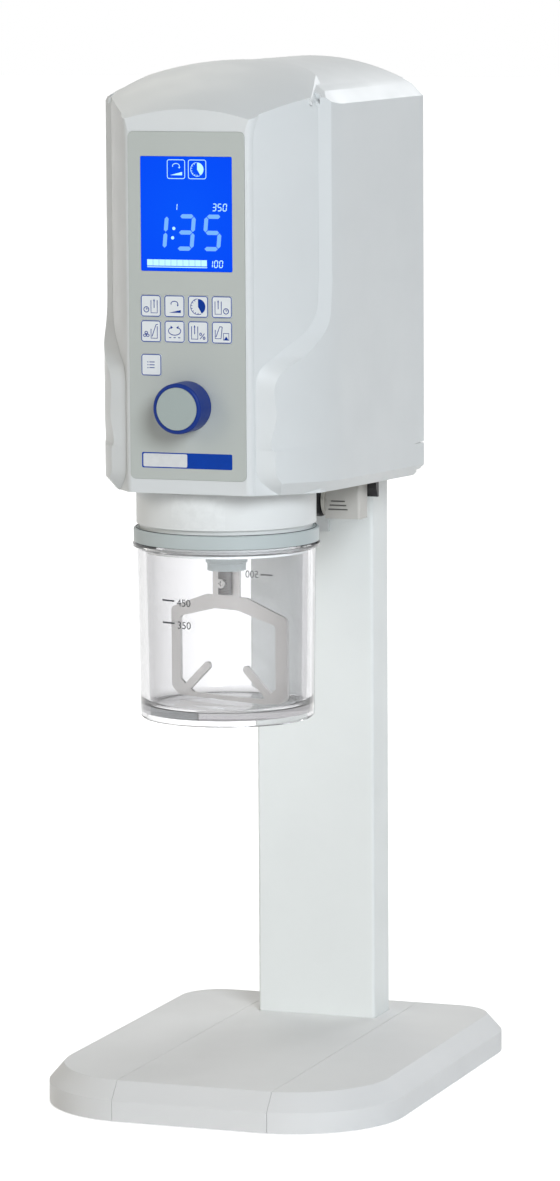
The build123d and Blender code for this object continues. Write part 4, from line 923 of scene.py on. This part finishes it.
def makeLidPatch():
    finishPiece([roundStrip(**lidPatch)], "lid_patch", "lidPatch", "lid_unit")


hubCollar = {"radius": 10.3, "low": 335.2, "high": 342.0, "thickness": 1.6}


def makeHubCollar():
    # the hub reaches a little further down round the top of the paddle's stem
    collar = roundStrip(start=fullTurn[0], end=fullTurn[1], **hubCollar)
    makeActive(collar)
    bpy.ops.object.shade_smooth_by_angle(angle=math.radians(smoothTurn))
    finishPiece([collar], "hub_collar", "ring", "lid_unit")


# painted shade: the shadow in the seam between lid and ring, drawn as a dark strip
lidSeamShade = {"radius": 55.4, "height": 0.4, "thickness": 0.05}


def makeLidSeamShade():
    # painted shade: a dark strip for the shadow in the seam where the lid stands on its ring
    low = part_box("lid_seal_ring")[1].z / mm
    strip = roundStrip(lidSeamShade["radius"], *fullTurn, low, low + lidSeamShade["height"], lidSeamShade["thickness"])
    finishPiece([strip], "lid_seam_shade", "greyInkAndSeamShade", "lid_unit")


grooves = {"count": 3, "x": 42.4, "z": 369.4, "width": 9.4, "growth": 1.8, "pitch": 2.6,
           "height": 0.8, "corner": 0.35, "depth": 0.5}


def makeGrooveShades():
    # painted shade: darker floors in the grip grooves on the filter cover
    look = grooves
    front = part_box("filter_cover")[0].y / mm + look["depth"]
    loops = []
    for i in range(look["count"]):
        width, z = look["width"] + look["growth"] * i, look["z"] - look["pitch"] * i
        loops.append(roundedBox(width, look["height"], look["corner"], look["x"], z))
    finishPiece([filled(loops, 0, front, 0)], "filter_groove_shades", "grooveShadeGrey", "filter")


makeGrooveShades()
makeBowlMarks()
makeLidPatch()
makeHubCollar()
makeLidSeamShade()
print("bowl and lid marked")


# floor, light and camera

studio = {
    "skyColor": (1.0, 1.0, 1.0), "skyStrength": 0.1,
    "floorSize": 40.0, "floorDrop": 0.0002, "floorColor": (0.82, 0.82, 0.82), "floorRoughness": 0.9,
    "glowNear": 0.78, "glowFar": 1.0, "glowReach": 1.1, "glowEven": 0.6,
    "lamps": (
        {"name": "key", "at": (2.6, -3.2, 2.2), "size": 2.0, "watts": 128, "color": (0.9, 0.95, 1.0)},
        {"name": "fill", "at": (-2.2, -3.2, 2.0), "size": 2.0, "watts": 22, "color": (1.0, 0.9, 0.78)},
        {"name": "left", "at": (-3.6, -0.6, 1.5), "size": 2.0, "watts": 9, "color": (1.0, 0.98, 0.84)},
        {"name": "back", "at": (0.6, 3.4, 2.2), "size": 2.0, "watts": 36, "color": (0.96, 0.98, 1.0)},
        {"name": "backLeft", "at": (-1.8, 2.4, 3.0), "size": 2.0, "watts": 16,
         "color": (1.0, 0.97, 0.86)},
    ),
    "aim": (0, 0, 0.35),
}


def whiteWhenSeen(tree, plain, seen):
    # seen replaces plain for the camera and in reflections and clear walls
    path = tree.nodes.new("ShaderNodeLightPath")
    first = tree.nodes.new("ShaderNodeMath")
    first.operation = "MAXIMUM"
    tree.links.new(path.outputs["Is Camera Ray"], first.inputs[0])
    tree.links.new(path.outputs["Is Glossy Ray"], first.inputs[1])
    second = tree.nodes.new("ShaderNodeMath")
    second.operation = "MAXIMUM"
    tree.links.new(first.outputs[0], second.inputs[0])
    tree.links.new(path.outputs["Is Transmission Ray"], second.inputs[1])
    mix = tree.nodes.new("ShaderNodeMixShader")
    tree.links.new(second.outputs[0], mix.inputs[0])
    tree.links.new(plain, mix.inputs[1])
    tree.links.new(seen, mix.inputs[2])
    return mix.outputs[0]


def makeSky():
    world = bpy.data.worlds.new("studio")
    bpy.context.scene.world = world
    world.use_nodes = True
    tree = world.node_tree
    light = tree.nodes["Background"]
    light.inputs["Color"].default_value = (*studio["skyColor"], 1)
    light.inputs["Strength"].default_value = studio["skyStrength"]
    white = tree.nodes.new("ShaderNodeBackground")
    white.inputs["Color"].default_value = (1, 1, 1, 1)
    white.inputs["Strength"].default_value = 1.0
    out = whiteWhenSeen(tree, light.outputs[0], white.outputs[0])
    tree.links.new(out, tree.nodes["World Output"].inputs["Surface"])


def makeFloor():
    bpy.ops.mesh.primitive_plane_add(size=studio["floorSize"], location=(0, 0, -studio["floorDrop"]))
    floor = bpy.context.active_object
    floor.name = "studio_floor"
    material = newMaterial("studioFloor", (*studio["floorColor"], 1), studio["floorRoughness"])
    tree = material.node_tree
    glow = tree.nodes.new("ShaderNodeEmission")
    glow.inputs["Color"].default_value = (1, 1, 1, 1)
    ball = tree.nodes.new("ShaderNodeTexGradient")
    ball.gradient_type = "SPHERICAL"
    size = 1 / studio["glowReach"]
    tree.links.new(place(material, (size, size, size)), ball.inputs["Vector"])
    strength = ramp(material, ball.outputs["Fac"], studio["glowFar"], studio["glowNear"],
                    0.0, studio["glowEven"])
    tree.links.new(strength, glow.inputs["Strength"])
    both = tree.nodes.new("ShaderNodeAddShader")
    shader = shaderOf(material)
    tree.links.new(shader.outputs[0], both.inputs[0])
    tree.links.new(glow.outputs[0], both.inputs[1])
    out = whiteWhenSeen(tree, shader.outputs[0], both.outputs[0])
    tree.links.new(out, tree.nodes["Material Output"].inputs["Surface"])
    floor.data.materials.append(material)


def makeLamps():
    for lamp in studio["lamps"]:
        light = bpy.data.lights.new(lamp["name"], "AREA")
        light.shape = "DISK"
        light.size = lamp["size"]
        light.energy = lamp["watts"]
        light.color = lamp["color"]
        obj = bpy.data.objects.new(lamp["name"], light)
        bpy.context.scene.collection.objects.link(obj)
        obj.location = lamp["at"]
        aim = Vector(studio["aim"]) - Vector(lamp["at"])
        obj.rotation_euler = aim.to_track_quat("-Z", "Y").to_euler()


view = {"at": (1.12058, -3.03817, 0.73027), "yaw": 0.3508, "pitch": 0.1281, "roll": 0.0059,
        "lens": 158.58, "sensor": 36.0, "clip": (0.05, 100)}


def makeCamera():
    data = bpy.data.cameras.new("camera")
    data.lens = view["lens"]
    data.sensor_width = view["sensor"]
    data.sensor_fit = "AUTO"
    data.clip_start, data.clip_end = view["clip"]
    camera = bpy.data.objects.new("camera", data)
    bpy.context.scene.collection.objects.link(camera)
    turn = (Matrix.Rotation(view["yaw"], 4, "Z")
            @ Matrix.Rotation(math.radians(90) - view["pitch"], 4, "X")
            @ Matrix.Rotation(-view["roll"], 4, "Z"))
    camera.matrix_world = Matrix.Translation(view["at"]) @ turn
    bpy.context.scene.camera = camera


makeSky()
makeFloor()
makeLamps()
makeCamera()
bpy.context.scene.view_settings.view_transform = "Standard"
print("studio ready")
